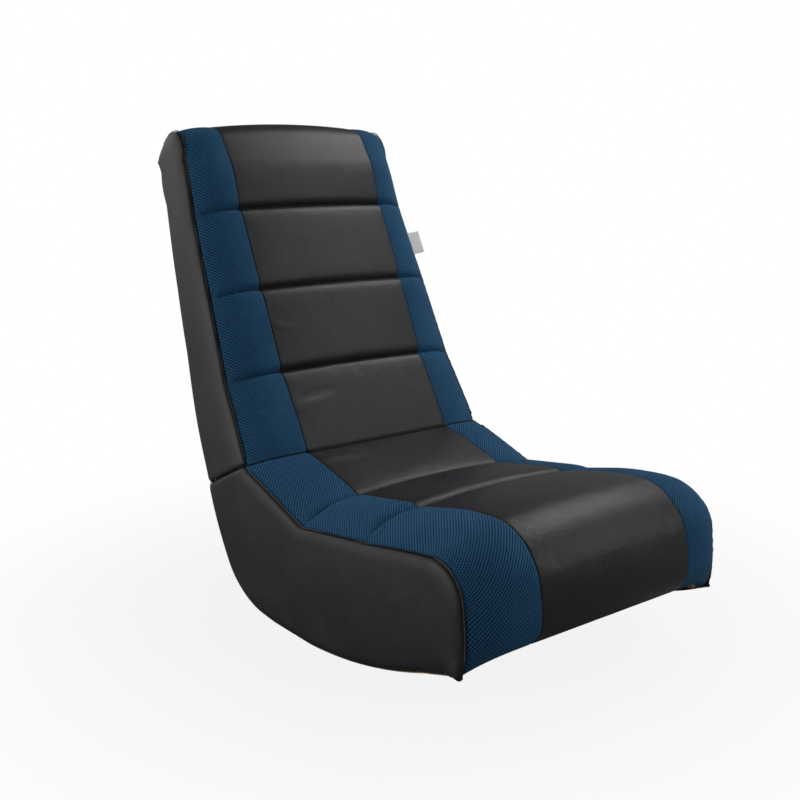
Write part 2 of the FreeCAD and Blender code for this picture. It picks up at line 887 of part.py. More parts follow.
def build_fold():
    pins = []
    for name, side in (("seat", -1), ("back", 1)):
        screws = hinge_screw_set(side)
        leaves = [leaf(middle, side) for middle in hinge_middles()]
        cover = gap_block(
            full_width(seam_half_width if side < 0 else back_panel_inner + back_panel_thickness),
            (hinge_rail_start, gap_length - 2.0 * rear_cover_thickness),
            side,
            (gap_half, covered_gap),
        )
        save(name + "_gap_cover", [without(cover, leaf_windows(side))])
        save("hinge_" + name + "_leaves", [without(shape, screws) for shape in leaves])
        save("hinge_" + name + "_screws", screws)
    for middle in hinge_middles():
        ends = (middle - hinge_width / 2.0, middle + hinge_width / 2.0)
        pins.append(rod_along_x(hinge, pin_radius, ends[0], ends[1]))
    save("hinge_pins", pins)
    build_fold_seam()


def build_fold_seam():
    """The sewn roll of cloth that fills the fold beside and between the hinges."""
    edges = [-centre_half_width]
    for middle in hinge_middles():
        edges.append(middle - hinge_width / 2.0 - soft_clearance)
        edges.append(middle + hinge_width / 2.0 + soft_clearance)
    edges.append(centre_half_width)
    rolls = [
        rod_along_x(hinge, fold_seam_radius, start, end) for start, end in zip(edges[::2], edges[1::2])
    ]
    save("fold_seam", rolls)


# The blank tag in the seam on the sitter's left
def build_tag():
    """A short loop of ribbon, sewn to the front edge of the side cover and reaching past it."""
    seam = back_seam()
    low, high = seam[-3], seam[-4]
    heading = math.degrees(math.atan2(high[1] - low[1], high[0] - low[0]))
    middle = between(low, high, tag_at)
    start = step(middle, -tag_length / 2.0, heading)
    front = edge_puff + soft_clearance
    tag = slanted_block(
        (back_panel_inner, tag_outer), start, heading, (0.0, tag_length), (front, front + tag_thickness)
    )
    save("label_tag", [tag.cut(back_front_view(side_cover_thickness))])


build_seat_pads()
build_back_pads()
build_side_covers()
build_seat_frame()
build_bottom_cover()
build_back_frame()
build_rear_cover()
build_fold()
build_tag()
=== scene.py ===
"""The looks of a folding floor rocker: quilted vinyl, blue air mesh, padded sides and its wooden frame.

Metres, in the frame's own axes: the sitter faces -Y and +Z is up. Side lines are (y, z) pairs.
"""

import json
import logging
import math
from contextlib import contextmanager
from dataclasses import dataclass, field
from enum import Enum
from typing import Callable, Iterator, Sequence

import bmesh
import bpy
from mathutils import Matrix, Vector, noise


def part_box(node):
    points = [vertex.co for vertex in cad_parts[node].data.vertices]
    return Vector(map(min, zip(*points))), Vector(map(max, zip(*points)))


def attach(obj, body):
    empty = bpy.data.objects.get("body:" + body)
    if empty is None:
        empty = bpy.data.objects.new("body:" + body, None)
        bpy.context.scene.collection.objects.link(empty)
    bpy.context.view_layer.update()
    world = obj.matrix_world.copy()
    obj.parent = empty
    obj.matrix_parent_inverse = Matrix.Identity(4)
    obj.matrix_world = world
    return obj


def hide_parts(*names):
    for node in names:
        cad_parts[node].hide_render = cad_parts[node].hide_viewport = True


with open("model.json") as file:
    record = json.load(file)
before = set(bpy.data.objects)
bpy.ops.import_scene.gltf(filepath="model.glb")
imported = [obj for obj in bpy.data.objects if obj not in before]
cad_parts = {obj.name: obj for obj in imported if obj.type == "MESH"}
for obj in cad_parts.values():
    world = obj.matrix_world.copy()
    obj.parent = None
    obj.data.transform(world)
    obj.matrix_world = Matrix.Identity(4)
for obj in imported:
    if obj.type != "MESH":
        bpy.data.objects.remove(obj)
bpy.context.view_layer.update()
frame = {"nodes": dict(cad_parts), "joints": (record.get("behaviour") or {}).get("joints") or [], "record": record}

Point = tuple[float, float]
Triple = tuple[float, float, float]
Colour = tuple[float, float, float, float]
Placed = tuple[Vector, Vector]
log = logging.getLogger("rocker")

# Tolerances: the least length divided by, what counts as straight, and what is merged
TINY = 1e-9
STRAIGHT = 1e-7
JOIN = 1e-6

# Half the width of the vinyl middle, and how far the side covers stand out over the seams
MIDDLE_HALF_WIDTH = 0.125
SIDE_PROUD = 0.006

# The channels: how even their steps are, how wide and deep a groove is, and how wide the fold
EVEN_SHARE = 0.3
GROOVE_WIDTH = 0.0042
GROOVE_NOTCH = 1.0
FOLD_WIDTH = 0.034


class Side(Enum):
    """A side of the chair, as the sign of its X: the sitter's left is +X."""

    LEFT = 1
    RIGHT = -1

    @property
    def word(self) -> str:
        """The side's name in the names of pieces and nodes."""
        return self.name.lower()


class Section(Enum):
    """A section of the chair, whose name starts the names of its pieces and nodes."""

    SEAT = "seat"
    BACK = "back"

    @property
    def body(self) -> str:
        """The body that the section's pieces ride on."""
        return self.named("section")

    @property
    def inside(self) -> float:
        """1 where the covers lie right of the way of their lines, and -1 where they lie left."""
        return 1.0 if self is Section.SEAT else -1.0

    def named(self, rest: str) -> str:
        """The full name of one of the section's pieces or nodes."""
        return f"{self.value}_{rest}"


# Plane geometry
def step(point: Point, length: float, angle: float) -> Point:
    """The point that lies a length away along an angle in degrees, measured up from +Y."""
    turn = math.radians(angle)
    return (point[0] + length * math.cos(turn), point[1] + length * math.sin(turn))


def between(a: Point, b: Point, share: float) -> Point:
    """The point that lies a share of the way from a to b."""
    return (a[0] + (b[0] - a[0]) * share, a[1] + (b[1] - a[1]) * share)


def distance(a: Point, b: Point) -> float:
    """The distance between two points."""
    return math.hypot(b[0] - a[0], b[1] - a[1])


def right_of_way(points: Sequence[Point]) -> list[Point]:
    """The direction to the right of the way at each point of a line.

    Args:
        points: The line's points, in order.

    Returns:
        One unit direction for each point.
    """
    last = len(points) - 1
    directions = []
    for i in range(len(points)):
        before = points[max(i - 1, 0)]
        after = points[min(i + 1, last)]
        length = max(distance(before, after), TINY)
        directions.append(((after[1] - before[1]) / length, (before[0] - after[0]) / length))
    return directions


def moved_out(points: Sequence[Point], amounts: Sequence[float]) -> list[Point]:
    """The points, each moved to the right of the way by its own amount."""
    return [
        (p[0] + n[0] * amount, p[1] + n[1] * amount)
        for p, n, amount in zip(points, right_of_way(points), amounts)
    ]


def shifted(points: Sequence[Point], amount: float) -> list[Point]:
    """The points, all moved to the right of the way by the same amount."""
    return moved_out(points, [amount] * len(points))


def reaches(points: Sequence[Point]) -> list[float]:
    """How far along its line each point lies.

    Args:
        points: The line's points, in order.

    Returns:
        The distance from the first point to each, along the line.
    """
    made = [0.0]
    for a, b in zip(points, points[1:]):
        made.append(made[-1] + distance(a, b))
    return made


def turn_bulge(a: Point, b: Point, turn: float) -> float:
    """The bulge of the arc from a to b that turns through an angle in degrees."""
    return distance(a, b) / 2.0 * math.tan(math.radians(turn) / 4.0)


def arc_point(a: Point, b: Point, bulge: float, share: float) -> Point:
    """A point of the arc from a to b.

    Args:
        a: Where the arc starts.
        b: Where it ends.
        bulge: How far its middle stands to the right of the chord.
        share: How far along the arc the point lies, from 0 to 1.

    Returns:
        The point.
    """
    chord = distance(a, b)
    if abs(bulge) < STRAIGHT or chord < STRAIGHT:
        return between(a, b, share)
    radius = (chord * chord / 4.0 + bulge * bulge) / (2.0 * bulge)
    angle = (2.0 * share - 1.0) * math.asin(min(1.0, chord / 2.0 / abs(radius)))
    along = ((b[0] - a[0]) / chord, (b[1] - a[1]) / chord)
    aside = bulge - radius + radius * math.cos(angle)
    ahead = abs(radius) * math.sin(angle)
    middle = between(a, b, 0.5)
    return (
        middle[0] + along[0] * ahead + along[1] * aside,
        middle[1] + along[1] * ahead - along[0] * aside,
    )


def eased(share: float) -> float:
    """A share from 0 to 1 that starts and ends gently."""
    held = min(max(share, 0.0), 1.0)
    return held * held * (3.0 - 2.0 * held)


def rounded(share: float) -> float:
    """The height of a quarter circle at a share of its way in from the edge."""
    held = min(max(share, 0.0), 1.0)
    return math.sqrt(1.0 - (1.0 - held) ** 2)


def crowded(share: float) -> float:
    """A share from 0 to 1 whose even steps lie closer together near both ends."""
    return EVEN_SHARE * share + (1.0 - EVEN_SHARE) / 2.0 * (1.0 - math.cos(math.pi * share))


class Knot(Enum):
    """What a cover does where it meets a knot of its side line."""

    FOLD = 1
    GROOVE = 2
    SMOOTH = 3

    def rise(self, reach: float, half: float, notch: float) -> float:
        """How far the cover has swollen near the knot.

        Args:
            reach: The distance from the knot.
            half: Half the length of the stretch.
            notch: How deep a groove is, as a share of the swell.

        Returns:
            The share of the full swell.
        """
        if self is Knot.GROOVE:
            return 1.0 - notch * math.exp(-reach / GROOVE_WIDTH)
        if self is Knot.FOLD:
            return 1.0 - math.exp(-reach / FOLD_WIDTH)
        return 1.0 - max(0.0, 1.0 - reach / half) ** 2


@dataclass(frozen=True)
class Line:
    """A side line of arcs and swollen stretches between knots.

    Attributes:
        points: The knots.
        bulges: The bulge of the arc of each stretch.
        swells: How far each stretch swells beyond its arc, right of the way.
        kinds: What the cover does at each knot.
        notch: How deep its grooves are, as a share of the swell.
    """

    points: tuple[Point, ...]
    bulges: tuple[float, ...]
    swells: tuple[float, ...] = ()
    kinds: tuple[Knot, ...] = ()
    notch: float = GROOVE_NOTCH

    def stretch(self, index: int, count: int) -> list[Point]:
        """The points of one stretch, after its start.

        Args:
            index: Which stretch.
            count: How many steps it has.

        Returns:
            One point for each step.
        """
        a, b = self.points[index], self.points[index + 1]
        chord = distance(a, b)
        aside = ((b[1] - a[1]) / chord, (a[0] - b[0]) / chord)
        swell = self.swells[index] if self.swells else 0.0
        made = []
        for k in range(1, count + 1):
            share = crowded(k / count) if swell else k / count
            place = arc_point(a, b, self.bulges[index], share)
            lift = 0.0
            if swell:
                start = self.kinds[index].rise(share * chord, chord / 2.0, self.notch)
                end = self.kinds[index + 1].rise((1.0 - share) * chord, chord / 2.0, self.notch)
                lift = swell * start * end
            made.append((place[0] + aside[0] * lift, place[1] + aside[1] * lift))
        return made

    def stretch_points(self, counts: Sequence[int]) -> list[Point]:
        """The points along the line.

        Args:
            counts: The number of steps of each stretch.

        Returns:
            All the points, from the first knot to the last.
        """
        made = [self.points[0]]
        for index, count in enumerate(counts):
            made.extend(self.stretch(index, count))
        return made

    def knots(self, counts: Sequence[int]) -> list[int]:
        """Where each knot is among the points along the line.

        Args:
            counts: The number of steps of each stretch.

        Returns:
            One index for each knot.
        """
        indices = [0]
        for count in counts:
            indices.append(indices[-1] + count)
        return indices

    def knots_of(self, *kinds: Knot) -> list[int]:
        """The inner knots of some kinds."""
        last = len(self.kinds) - 1
        return [i for i, kind in enumerate(self.kinds) if kind in kinds and i < last]

    def without_end(self) -> "Line":
        """The line up to its last knot but one."""
        return Line(self.points[:-1], self.bulges[:-1], self.swells[:-1], self.kinds[:-1], self.notch)

    def even_points(self, count: int, finely: int = 60) -> list[Point]:
        """The line as evenly spaced steps.

        Args:
            count: How many steps.
            finely: How many steps of each stretch they are measured on.

        Returns:
            The points, one more than the steps.
        """
        fine = self.stretch_points([finely] * len(self.bulges))
        reach = reaches(fine)
        made = []
        k = 0
        for i in range(count + 1):
            target = reach[-1] * i / count
            while k < len(fine) - 2 and reach[k + 1] < target:
                k += 1
            made.append(between(fine[k], fine[k + 1], (target - reach[k]) / (reach[k + 1] - reach[k])))
        return made


@dataclass(frozen=True)
class SideView:
    """The chair's side view: its two quilted lines, its outer seams, its runner and its rear.

    A heading is the way of a channel in degrees. A puff is how far a channel swells. A side drop is how far
    the outer seam lies under the middle line.

    Attributes:
        hinge: The fold axis, which the frame gives.
        nose_puff_share: How much of the swell the channel over the nose has.
        nose: The centre of the roll at the seat's front, nose_heading the slope where it starts.
        nose_foot: Where the middle line ends at the front, and seam_foot where the outer seam does.
        top_roll: The centre of the roll at the top of the back.
        foot_tuck: How far the covers are turned in under the foot.
        foot_wrap: How far the tuck of the outer seam lies lower than that of the middle.
        tuck_rise: How steeply the tuck climbs, and tuck_bulge how round it is, as shares of its length.
        rest_flat_depth: How much the padding gives where the runner stands on the floor.
        heel_y: Where the runner's circle ends at the rear and the heel's begins.
        rear_waist: The rear of the back near its foot, and rear_shoulder near its top.
    """

    hinge: Point
    seat_channel: float = 0.126
    seat_headings: tuple[float, ...] = (-17.8, 8.3)
    back_channel: float = 0.122
    back_headings: tuple[float, ...] = (56.0, 65.7, 64.7)
    channel_puff: float = 0.009
    fold_channel_puff: float = 0.007
    edge_puff: float = 0.003
    nose_puff_share: float = 0.6
    nose: Point = (-0.290, 0.146)
    nose_radius: float = 0.078
    nose_heading: float = 11.0
    nose_foot: Point = (-0.352, 0.088)
    top_roll: Point = (0.333, 0.606)
    top_roll_radius: float = 0.050
    top_roll_heading: float = 71.0
    seat_side_drop: float = 0.024
    nose_side_drop: float = 0.030
    back_side_drop: float = 0.025
    top_side_drop: float = 0.008
    fold_side_drop: float = 0.028
    seam_foot: Point = (-0.338, 0.070)
    foot_tuck: float = 0.034
    foot_wrap: float = 0.0100
    tuck_rise: float = 0.1
    tuck_bulge: float = 0.15
    rocker_radius: float = 0.750
    rest_flat_depth: float = 0.0012
    runner_front_y: float = -0.267
    heel_y: float = 0.078
    heel_radius: float = 0.120
    heel_end_angle: float = 52.0
    calf_bulge: float = 0.004
    rear_shoulder: Point = (0.364, 0.540)
    rear_waist: Point = (0.292, 0.334)
    rear_bulges: tuple[float, ...] = (0.005, 0.002, 0.006)
    gap_angle: float = -25.5
    gap_length: float = 0.141

    @property
    def gap_mouth(self) -> Point:
        """Where the gap between seat and back opens at the rear."""
        return step(self.hinge, self.gap_length, self.gap_angle)

    def from_gap(self, point: Point) -> float:
        """How far a point lies above the middle of the gap, as a signed distance.

        Args:
            point: The point.

        Returns:
            The distance, below zero on the seat's side.
        """
        turn = math.radians(self.gap_angle)
        ahead = (point[0] - self.hinge[0], point[1] - self.hinge[1])
        return ahead[1] * math.cos(turn) - ahead[0] * math.sin(turn)

    def seat_knots(self) -> list[Point]:
        """The middle of the seat: its grooves from the fold forward, the nose and its foot.

        Returns:
            Seven knots with the fold first.
        """
        points = [self.hinge]
        for heading in self.seat_headings:
            points.append(step(points[-1], self.seat_channel, 180.0 - heading))
        points.append(step(self.nose, self.nose_radius, 90.0 - self.nose_heading))
        points.append(step(self.nose, self.nose_radius, 180.0))
        points.append(self.nose_foot)
        return points

    def seat_seam_knots(self) -> list[Point]:
        """The outer seam of the seat, which lies lower than its middle.

        Returns:
            One knot for each of the middle line.
        """
        line = self.seat_knots()
        start = step(self.hinge, self.fold_side_drop, self.gap_angle)
        grooves = shifted(line, -self.seat_side_drop)[1:3]
        small = self.nose_radius - self.nose_side_drop
        crest = step(self.nose, small, 90.0 - self.nose_heading)
        front = step(self.nose, small, 180.0)
        return [start, *grooves, crest, front, self.seam_foot]

    def seat_line(self, points: Sequence[Point], puff: float, fold_puff: float, notch: float) -> Line:
        """A line of the seat, tucked under at the foot.

        Args:
            points: Its knots, from the fold forward.
            puff: How far its channels swell.
            fold_puff: How far the channel next to the fold swells.
            notch: How deep its grooves are, as a share of the swell.

        Returns:
            The line, whose cover lies on the right of the way.
        """
        nose_turn = 90.0 + self.nose_heading
        nose_bulge = turn_bulge(points[3], points[4], nose_turn)
        outer = (self.nose_foot[1] - points[-1][1]) / (self.nose_foot[1] - self.seam_foot[1])
        rise = self.foot_tuck * self.tuck_rise - self.foot_wrap * outer
        tuck = (points[-1][0] + self.foot_tuck, points[-1][1] + rise)
        bulges = (0.0, 0.0, 0.0, nose_bulge, 0.0, self.foot_tuck * self.tuck_bulge)
        swells = (fold_puff, puff, puff * self.nose_puff_share, 0.0, puff, 0.0)
        kinds = (Knot.FOLD, Knot.GROOVE, Knot.GROOVE) + (Knot.SMOOTH,) * 4
        return Line((*points, tuck), bulges, swells, kinds, notch)

    def back_knots(self) -> list[Point]:
        """The middle of the back: from the fold up its grooves, then over the top roll.

        Returns:
            Seven knots with the fold first.
        """
        points = [self.hinge]
        for heading in self.back_headings:
            points.append(step(points[-1], self.back_channel, heading))
        for angle in (90.0 + self.top_roll_heading, 90.0, 0.0):
            points.append(step(self.top_roll, self.top_roll_radius, angle))
        return points

    def back_seam_knots(self) -> list[Point]:
        """The outer seam of the back, which lies a little behind its middle.

        Returns:
            One knot for each of the middle line.
        """
        line = self.back_knots()
        drops = [self.back_side_drop] * (len(line) - 2) + [self.top_side_drop, 0.0]
        points = moved_out(line, drops)
        points[0] = step(self.hinge, self.fold_side_drop, self.gap_angle)
        return points

    def back_line(self, points: Sequence[Point], puff: float, fold_puff: float, notch: float) -> Line:
        """A line of the back.

        Args:
            points: Its knots, from the fold up.
            puff: How far its channels swell.
            fold_puff: How far the channel next to the fold swells.
            notch: How deep its grooves are, as a share of the swell.

        Returns:
            The line, whose cover lies on the left of the way.
        """
        front_arc = turn_bulge(points[4], points[5], self.top_roll_heading)
        rear_arc = turn_bulge(points[5], points[6], 90.0)
        bulges = (0.0, 0.0, 0.0, 0.0, -front_arc, -rear_arc)
        swells = (-fold_puff, -puff, -puff, -puff, 0.0, 0.0)
        kinds = (Knot.FOLD,) + (Knot.GROOVE,) * 3 + (Knot.SMOOTH,) * 3
        return Line(tuple(points), bulges, swells, kinds, notch)

    def runner_line(self) -> Line:
        """The underside from the gap forward to the foot of the front seam.

        Returns:
            The line of the calf, the heel, the runner's circle with its flat, and the nose.
        """
        centre = (0.0, self.rocker_radius - self.rest_flat_depth)
        flat = math.sqrt(self.rocker_radius**2 - centre[1] ** 2)

        def on_runner(y: float) -> Point:
            """The runner's own circle at a y."""
            return (y, centre[1] - math.sqrt(self.rocker_radius**2 - y**2))

        heel = on_runner(self.heel_y)
        heel_angle = math.degrees(math.asin(self.heel_y / self.rocker_radius))
        heel_centre = step(heel, self.heel_radius, heel_angle + 90.0)
        calf = step(heel_centre, self.heel_radius, self.heel_end_angle - 90.0)
        front = on_runner(self.runner_front_y)
        points = (self.gap_mouth, calf, heel, (flat, 0.0), (-flat, 0.0), front, self.seam_foot)
        flat_turn = math.asin(flat / self.rocker_radius)
        front_turn = math.asin(-self.runner_front_y / self.rocker_radius) - flat_turn
        rear_turn = math.radians(heel_angle) - flat_turn
        heel_turn = math.radians(self.heel_end_angle - heel_angle)
        bulges = (
            -self.calf_bulge,
            -self.heel_radius * (1.0 - math.cos(heel_turn / 2.0)),
            -self.rocker_radius * (1.0 - math.cos(rear_turn / 2.0)),
            0.0,
            -self.rocker_radius * (1.0 - math.cos(front_turn / 2.0)),
            0.0,
        )
        return Line(points, bulges)

    def rear_line(self) -> Line:
        """The rear of the back from the gap up to the seam behind the top roll."""
        top = step(self.top_roll, self.top_roll_radius, 0.0)
        return Line((self.gap_mouth, self.rear_waist, self.rear_shoulder, top), self.rear_bulges)


# Shader maths
class Value:
    """One socket of a shader, wrapped so that maths on it is written as Python."""

    def __init__(self, graph: "Graph", socket: bpy.types.NodeSocket) -> None:
        """Keep the graph and the socket."""
        self.graph = graph
        self.socket = socket

    def _math(self, operation: str, *others: "Value | float") -> "Value":
        """A Math node on this value and the others."""
        inputs = dict(enumerate((self, *others)))
        return self.graph.node("ShaderNodeMath", {"operation": operation}, inputs)

    def __add__(self, other: "Value | float") -> "Value":
        """The sum."""
        return self._math("ADD", other)

    __radd__ = __add__

    def __sub__(self, other: "Value | float") -> "Value":
        """The difference."""
        return self._math("SUBTRACT", other)

    def __rsub__(self, other: float) -> "Value":
        """The difference, the other way round."""
        return self.graph.node("ShaderNodeMath", {"operation": "SUBTRACT"}, {0: other, 1: self})

    def __mul__(self, other: "Value | float") -> "Value":
        """The product."""
        return self._math("MULTIPLY", other)

    __rmul__ = __mul__

    def cosine(self) -> "Value":
        """The cosine."""
        return self._math("COSINE")

    def ramp(self, low: float, high: float) -> "Value":
        """A smooth rise from 0 at the low value to 1 at the high one.

        Args:
            low: Where it starts.
            high: Where it ends.

        Returns:
            The rise.
        """
        settings = {"interpolation_type": "SMOOTHSTEP"}
        inputs = {"Value": self, "From Min": low, "From Max": high}
        return self.graph.node("ShaderNodeMapRange", settings, inputs)


class Graph:
    """The node tree of one material or world."""

    def __init__(self, tree: bpy.types.NodeTree) -> None:
        """Start from an empty tree."""
        self.tree = tree
        tree.nodes.clear()

    def node(self, kind: str, settings: dict, inputs: dict, output: int | str = 0) -> Value | None:
        """Add a node.

        Args:
            kind: The node's type.
            settings: Its properties.
            inputs: Values or links by the name or number of the socket.
            output: The name or number of the output wanted.

        Returns:
            The wanted output, wrapped, or None of a node that ends the tree.
        """
        made = self.tree.nodes.new(kind)
        for name, setting in settings.items():
            setattr(made, name, setting)
        for name, given in inputs.items():
            if isinstance(given, Value):
                self.tree.links.new(given.socket, made.inputs[name])
            else:
                made.inputs[name].default_value = given
        return Value(self, made.outputs[output]) if made.outputs else None

    def mixed(self, share: Value | float, a: "Value | tuple", b: "Value | tuple") -> Value:
        """A colour between two, by a share."""
        settings = {"data_type": "RGBA"}
        return self.node("ShaderNodeMix", settings, {0: share, 6: a, 7: b}, output=2)

    def place(self, kind: str = "Object") -> Value:
        """The object's own coordinates, or its UV map in metres."""
        return self.node("ShaderNodeTexCoord", {}, {}, output=kind)

    def camera_ray(self) -> Value:
        """1 where the camera looks straight at the surface, and 0 for other light."""
        return self.node("ShaderNodeLightPath", {}, {}, output="Is Camera Ray")

    def split(self, vector: Value) -> tuple[Value, Value, Value]:
        """The three parts of a vector."""
        made = self.node("ShaderNodeSeparateXYZ", {}, {0: vector})
        return tuple(Value(self, socket) for socket in made.socket.node.outputs)

    def stretched(self, vector: Value, scale: Triple) -> Value:
        """A vector scaled along each axis."""
        return self.node("ShaderNodeMapping", {}, {"Vector": vector, "Scale": scale})

    def cloud(self, vector: Value, scale: float, detail: float = 2.0, rough: float = 0.5) -> Value:
        """Noise, with its lumps per metre, its finer detail and how strong that is."""
        inputs = {"Vector": vector, "Scale": scale, "Detail": detail, "Roughness": rough}
        return self.node("ShaderNodeTexNoise", {}, inputs)

    def cells(self, vector: Value, scale: float, feature: str = "F1") -> Value:
        """The distance to the nearest cell centre or edge."""
        return self.node("ShaderNodeTexVoronoi", {"feature": feature}, {"Vector": vector, "Scale": scale})

    def bump(self, height: Value, depth: float, strength: float = 1.0, under: Value | None = None) -> Value:
        """A normal from a height.

        Args:
            height: The height, from 0 to 1.
            depth: The full range of the height in metres.
            strength: How much of it shows.
            under: The normal that it lies on.

        Returns:
            The normal.
        """
        inputs = {"Height": height, "Distance": depth, "Strength": strength}
        if under is not None:
            inputs["Normal"] = under
        return self.node("ShaderNodeBump", {}, inputs)

    def finish(self, inputs: dict) -> None:
        """End the tree in one Principled surface."""
        surface = self.node("ShaderNodeBsdfPrincipled", {}, inputs)
        self.node("ShaderNodeOutputMaterial", {}, {"Surface": surface})


def grey(level: float) -> Colour:
    """A neutral colour."""
    return (level, level, level, 1.0)


def colour(red: float, green: float, blue: float) -> Colour:
    """An opaque colour."""
    return (red, green, blue, 1.0)


# Finishes
@dataclass(frozen=True)
class Finish:
    """A surface finish, which makes its material once.

    Attributes:
        name: The material's name.
        slot: A material slot of the record; it is not used.
    """

    name: str
    slot: str

    def material(self) -> bpy.types.Material:
        """The finish's material, made the first time.

        Returns:
            The material.
        """
        found = bpy.data.materials.get(self.name)
        if found is None:
            found = bpy.data.materials.new(self.name)
            found.use_nodes = True
            self.build(Graph(found.node_tree))
        return found

    def build(self, graph: Graph) -> None:
        """Fill the node tree."""
        raise NotImplementedError


@dataclass(frozen=True)
class Vinyl(Finish):
    """Soft black upholstery vinyl with a fine pebbled grain.

    Attributes:
        tone: The colour of the film.
        worn: Its colour where it is worn.
        roughness: The roughness of a clean stretch.
        grain: Pebbles per metre.
        grain_depth: The depth of the grain.
        wave_depth: The depth of the broad waves under it.
    """

    tone: Colour = (0.0105, 0.0110, 0.0118, 1.0)
    worn: Colour = (0.021, 0.022, 0.024, 1.0)
    roughness: float = 0.36
    grain: float = 900.0
    grain_depth: float = 0.00012
    wave_depth: float = 0.0009

    def build(self, graph: Graph) -> None:
        """Pebbled grain over broad, uneven wear.

        Args:
            graph: The material's empty node tree.
        """
        place = graph.place()
        wear = graph.cloud(place, 9.0, 4.0, 0.6)
        patches = graph.cloud(place, 42.0, 3.0, 0.55)
        pebbles = graph.cells(place, self.grain)
        creases = graph.cells(place, self.grain * 0.45, "DISTANCE_TO_EDGE")
        fine = graph.cloud(place, self.grain * 2.0, 2.0)
        edges = creases.ramp(0.0, 0.12)
        height = pebbles.ramp(0.1, 0.75) * -0.7 + edges * 0.5 + fine * 0.25
        waves = graph.bump(patches, self.wave_depth, 0.55)
        tint = wear.ramp(0.42, 0.75) * 0.8
        graph.finish({
            "Base Color": graph.mixed(tint, self.tone, self.worn),
            "Roughness": self.roughness + wear * 0.14 + patches * 0.06 - edges * 0.03,
            "Normal": graph.bump(height, self.grain_depth, 1.0, waves),
            "Specular IOR Level": 0.36,
        })


@dataclass(frozen=True)
class AirMesh(Finish):
    """Navy spacer mesh: knitted threads with rows of small dark holes.

    Attributes:
        thread: The colour of the threads.
        faded: Their colour where they are worn.
        hole: The colour in the holes.
        sheen: The colour of the loose fibres' shine.
        pitch: The spacing of the rows across and along the strip.
        depth: The depth of the holes.
    """

    thread: Colour = (0.022, 0.105, 0.225, 1.0)
    faded: Colour = (0.034, 0.140, 0.275, 1.0)
    hole: Colour = (0.0022, 0.0060, 0.015, 1.0)
    sheen: Colour = (0.25, 0.45, 0.70, 1.0)
    pitch: tuple[float, float] = (0.0042, 0.0050)
    depth: float = 0.0007

    def build(self, graph: Graph) -> None:
        """Slanted rows of threads with holes between them, on the strip's own UV map.

        Args:
            graph: The material's empty node tree.
        """
        across, along, _ = graph.split(graph.place("UV"))
        turn_across = across * (2.0 * math.pi / self.pitch[0])
        turn_along = along * (2.0 * math.pi / self.pitch[1])
        rising = (turn_across - turn_along).cosine()
        falling = (turn_across + turn_along).cosine()
        knit = rising * 0.17 + falling * 0.33 + 0.5
        fibres = graph.cloud(graph.stretched(graph.place("UV"), (1.0, 0.4, 1.0)), 3200.0, 2.0)
        wear = graph.cloud(graph.place(), 14.0, 3.0)
        height = knit + fibres * 0.22
        yarn = graph.mixed(wear.ramp(0.35, 0.75) * 0.6 + fibres * 0.35, self.thread, self.faded)
        graph.finish({
            "Base Color": graph.mixed(height.ramp(0.22, 0.72), self.hole, yarn),
            "Roughness": 0.92 - knit * 0.12,
            "Normal": graph.bump(height, self.depth, 0.9),
            "Specular IOR Level": 0.15,
            "Sheen Weight": 0.04,
            "Sheen Roughness": 0.45,
            "Sheen Tint": self.sheen,
        })


@dataclass(frozen=True)
class Woven(Finish):
    """A plain woven or felted cloth.

    Attributes:
        light: The colour of the raised threads.
        dark: The colour between them.
        threads: Threads per metre.
        depth: The depth of the weave.
    """

    light: Colour
    dark: Colour
    threads: float = 1100.0
    depth: float = 0.0003

    def build(self, graph: Graph) -> None:
        """Crossed threads with loose fibres over them.

        Args:
            graph: The material's empty node tree.
        """
        x, y, z = graph.split(graph.place())
        turn = 2.0 * math.pi * self.threads
        weave = (x * turn).cosine() * (y * turn + z * turn * 0.7).cosine() * 0.5 + 0.5
        fibres = graph.cloud(graph.place(), self.threads * 0.9, 4.0, 0.65)
        dust = graph.cloud(graph.place(), 24.0, 3.0)
        height = weave * 0.6 + fibres * 0.7
        graph.finish({
            "Base Color": graph.mixed(height.ramp(0.3, 1.0) * 0.8 + dust * 0.2, self.dark, self.light),
            "Roughness": 0.95 - weave * 0.1,
            "Normal": graph.bump(height, self.depth),
            "Specular IOR Level": 0.2,
            "Sheen Weight": 0.15,
        })


@dataclass(frozen=True)
class RawEdge(Finish):
    """The cut edge of the seam allowance: pale backing cloth that shows here and there.

    Attributes:
        vinyl: The colour of the film.
        backing: The colour of the bare cloth.
    """

    vinyl: Colour = (0.010, 0.010, 0.011, 1.0)
    backing: Colour = (0.085, 0.078, 0.068, 1.0)

    def build(self, graph: Graph) -> None:
        """Frayed backing, bare in patches and dark between them.

        Args:
            graph: The material's empty node tree.
        """
        place = graph.place()
        bare = graph.cloud(place, 16.0, 2.0).ramp(0.40, 0.56)
        fray = graph.cloud(place, 900.0, 3.0, 0.7)
        graph.finish({
            "Base Color": graph.mixed(bare * fray.ramp(0.25, 0.6), self.vinyl, self.backing),
            "Roughness": 0.86 - fray * 0.2,
            "Normal": graph.bump(fray, 0.0004),
            "Specular IOR Level": 0.25,
        })


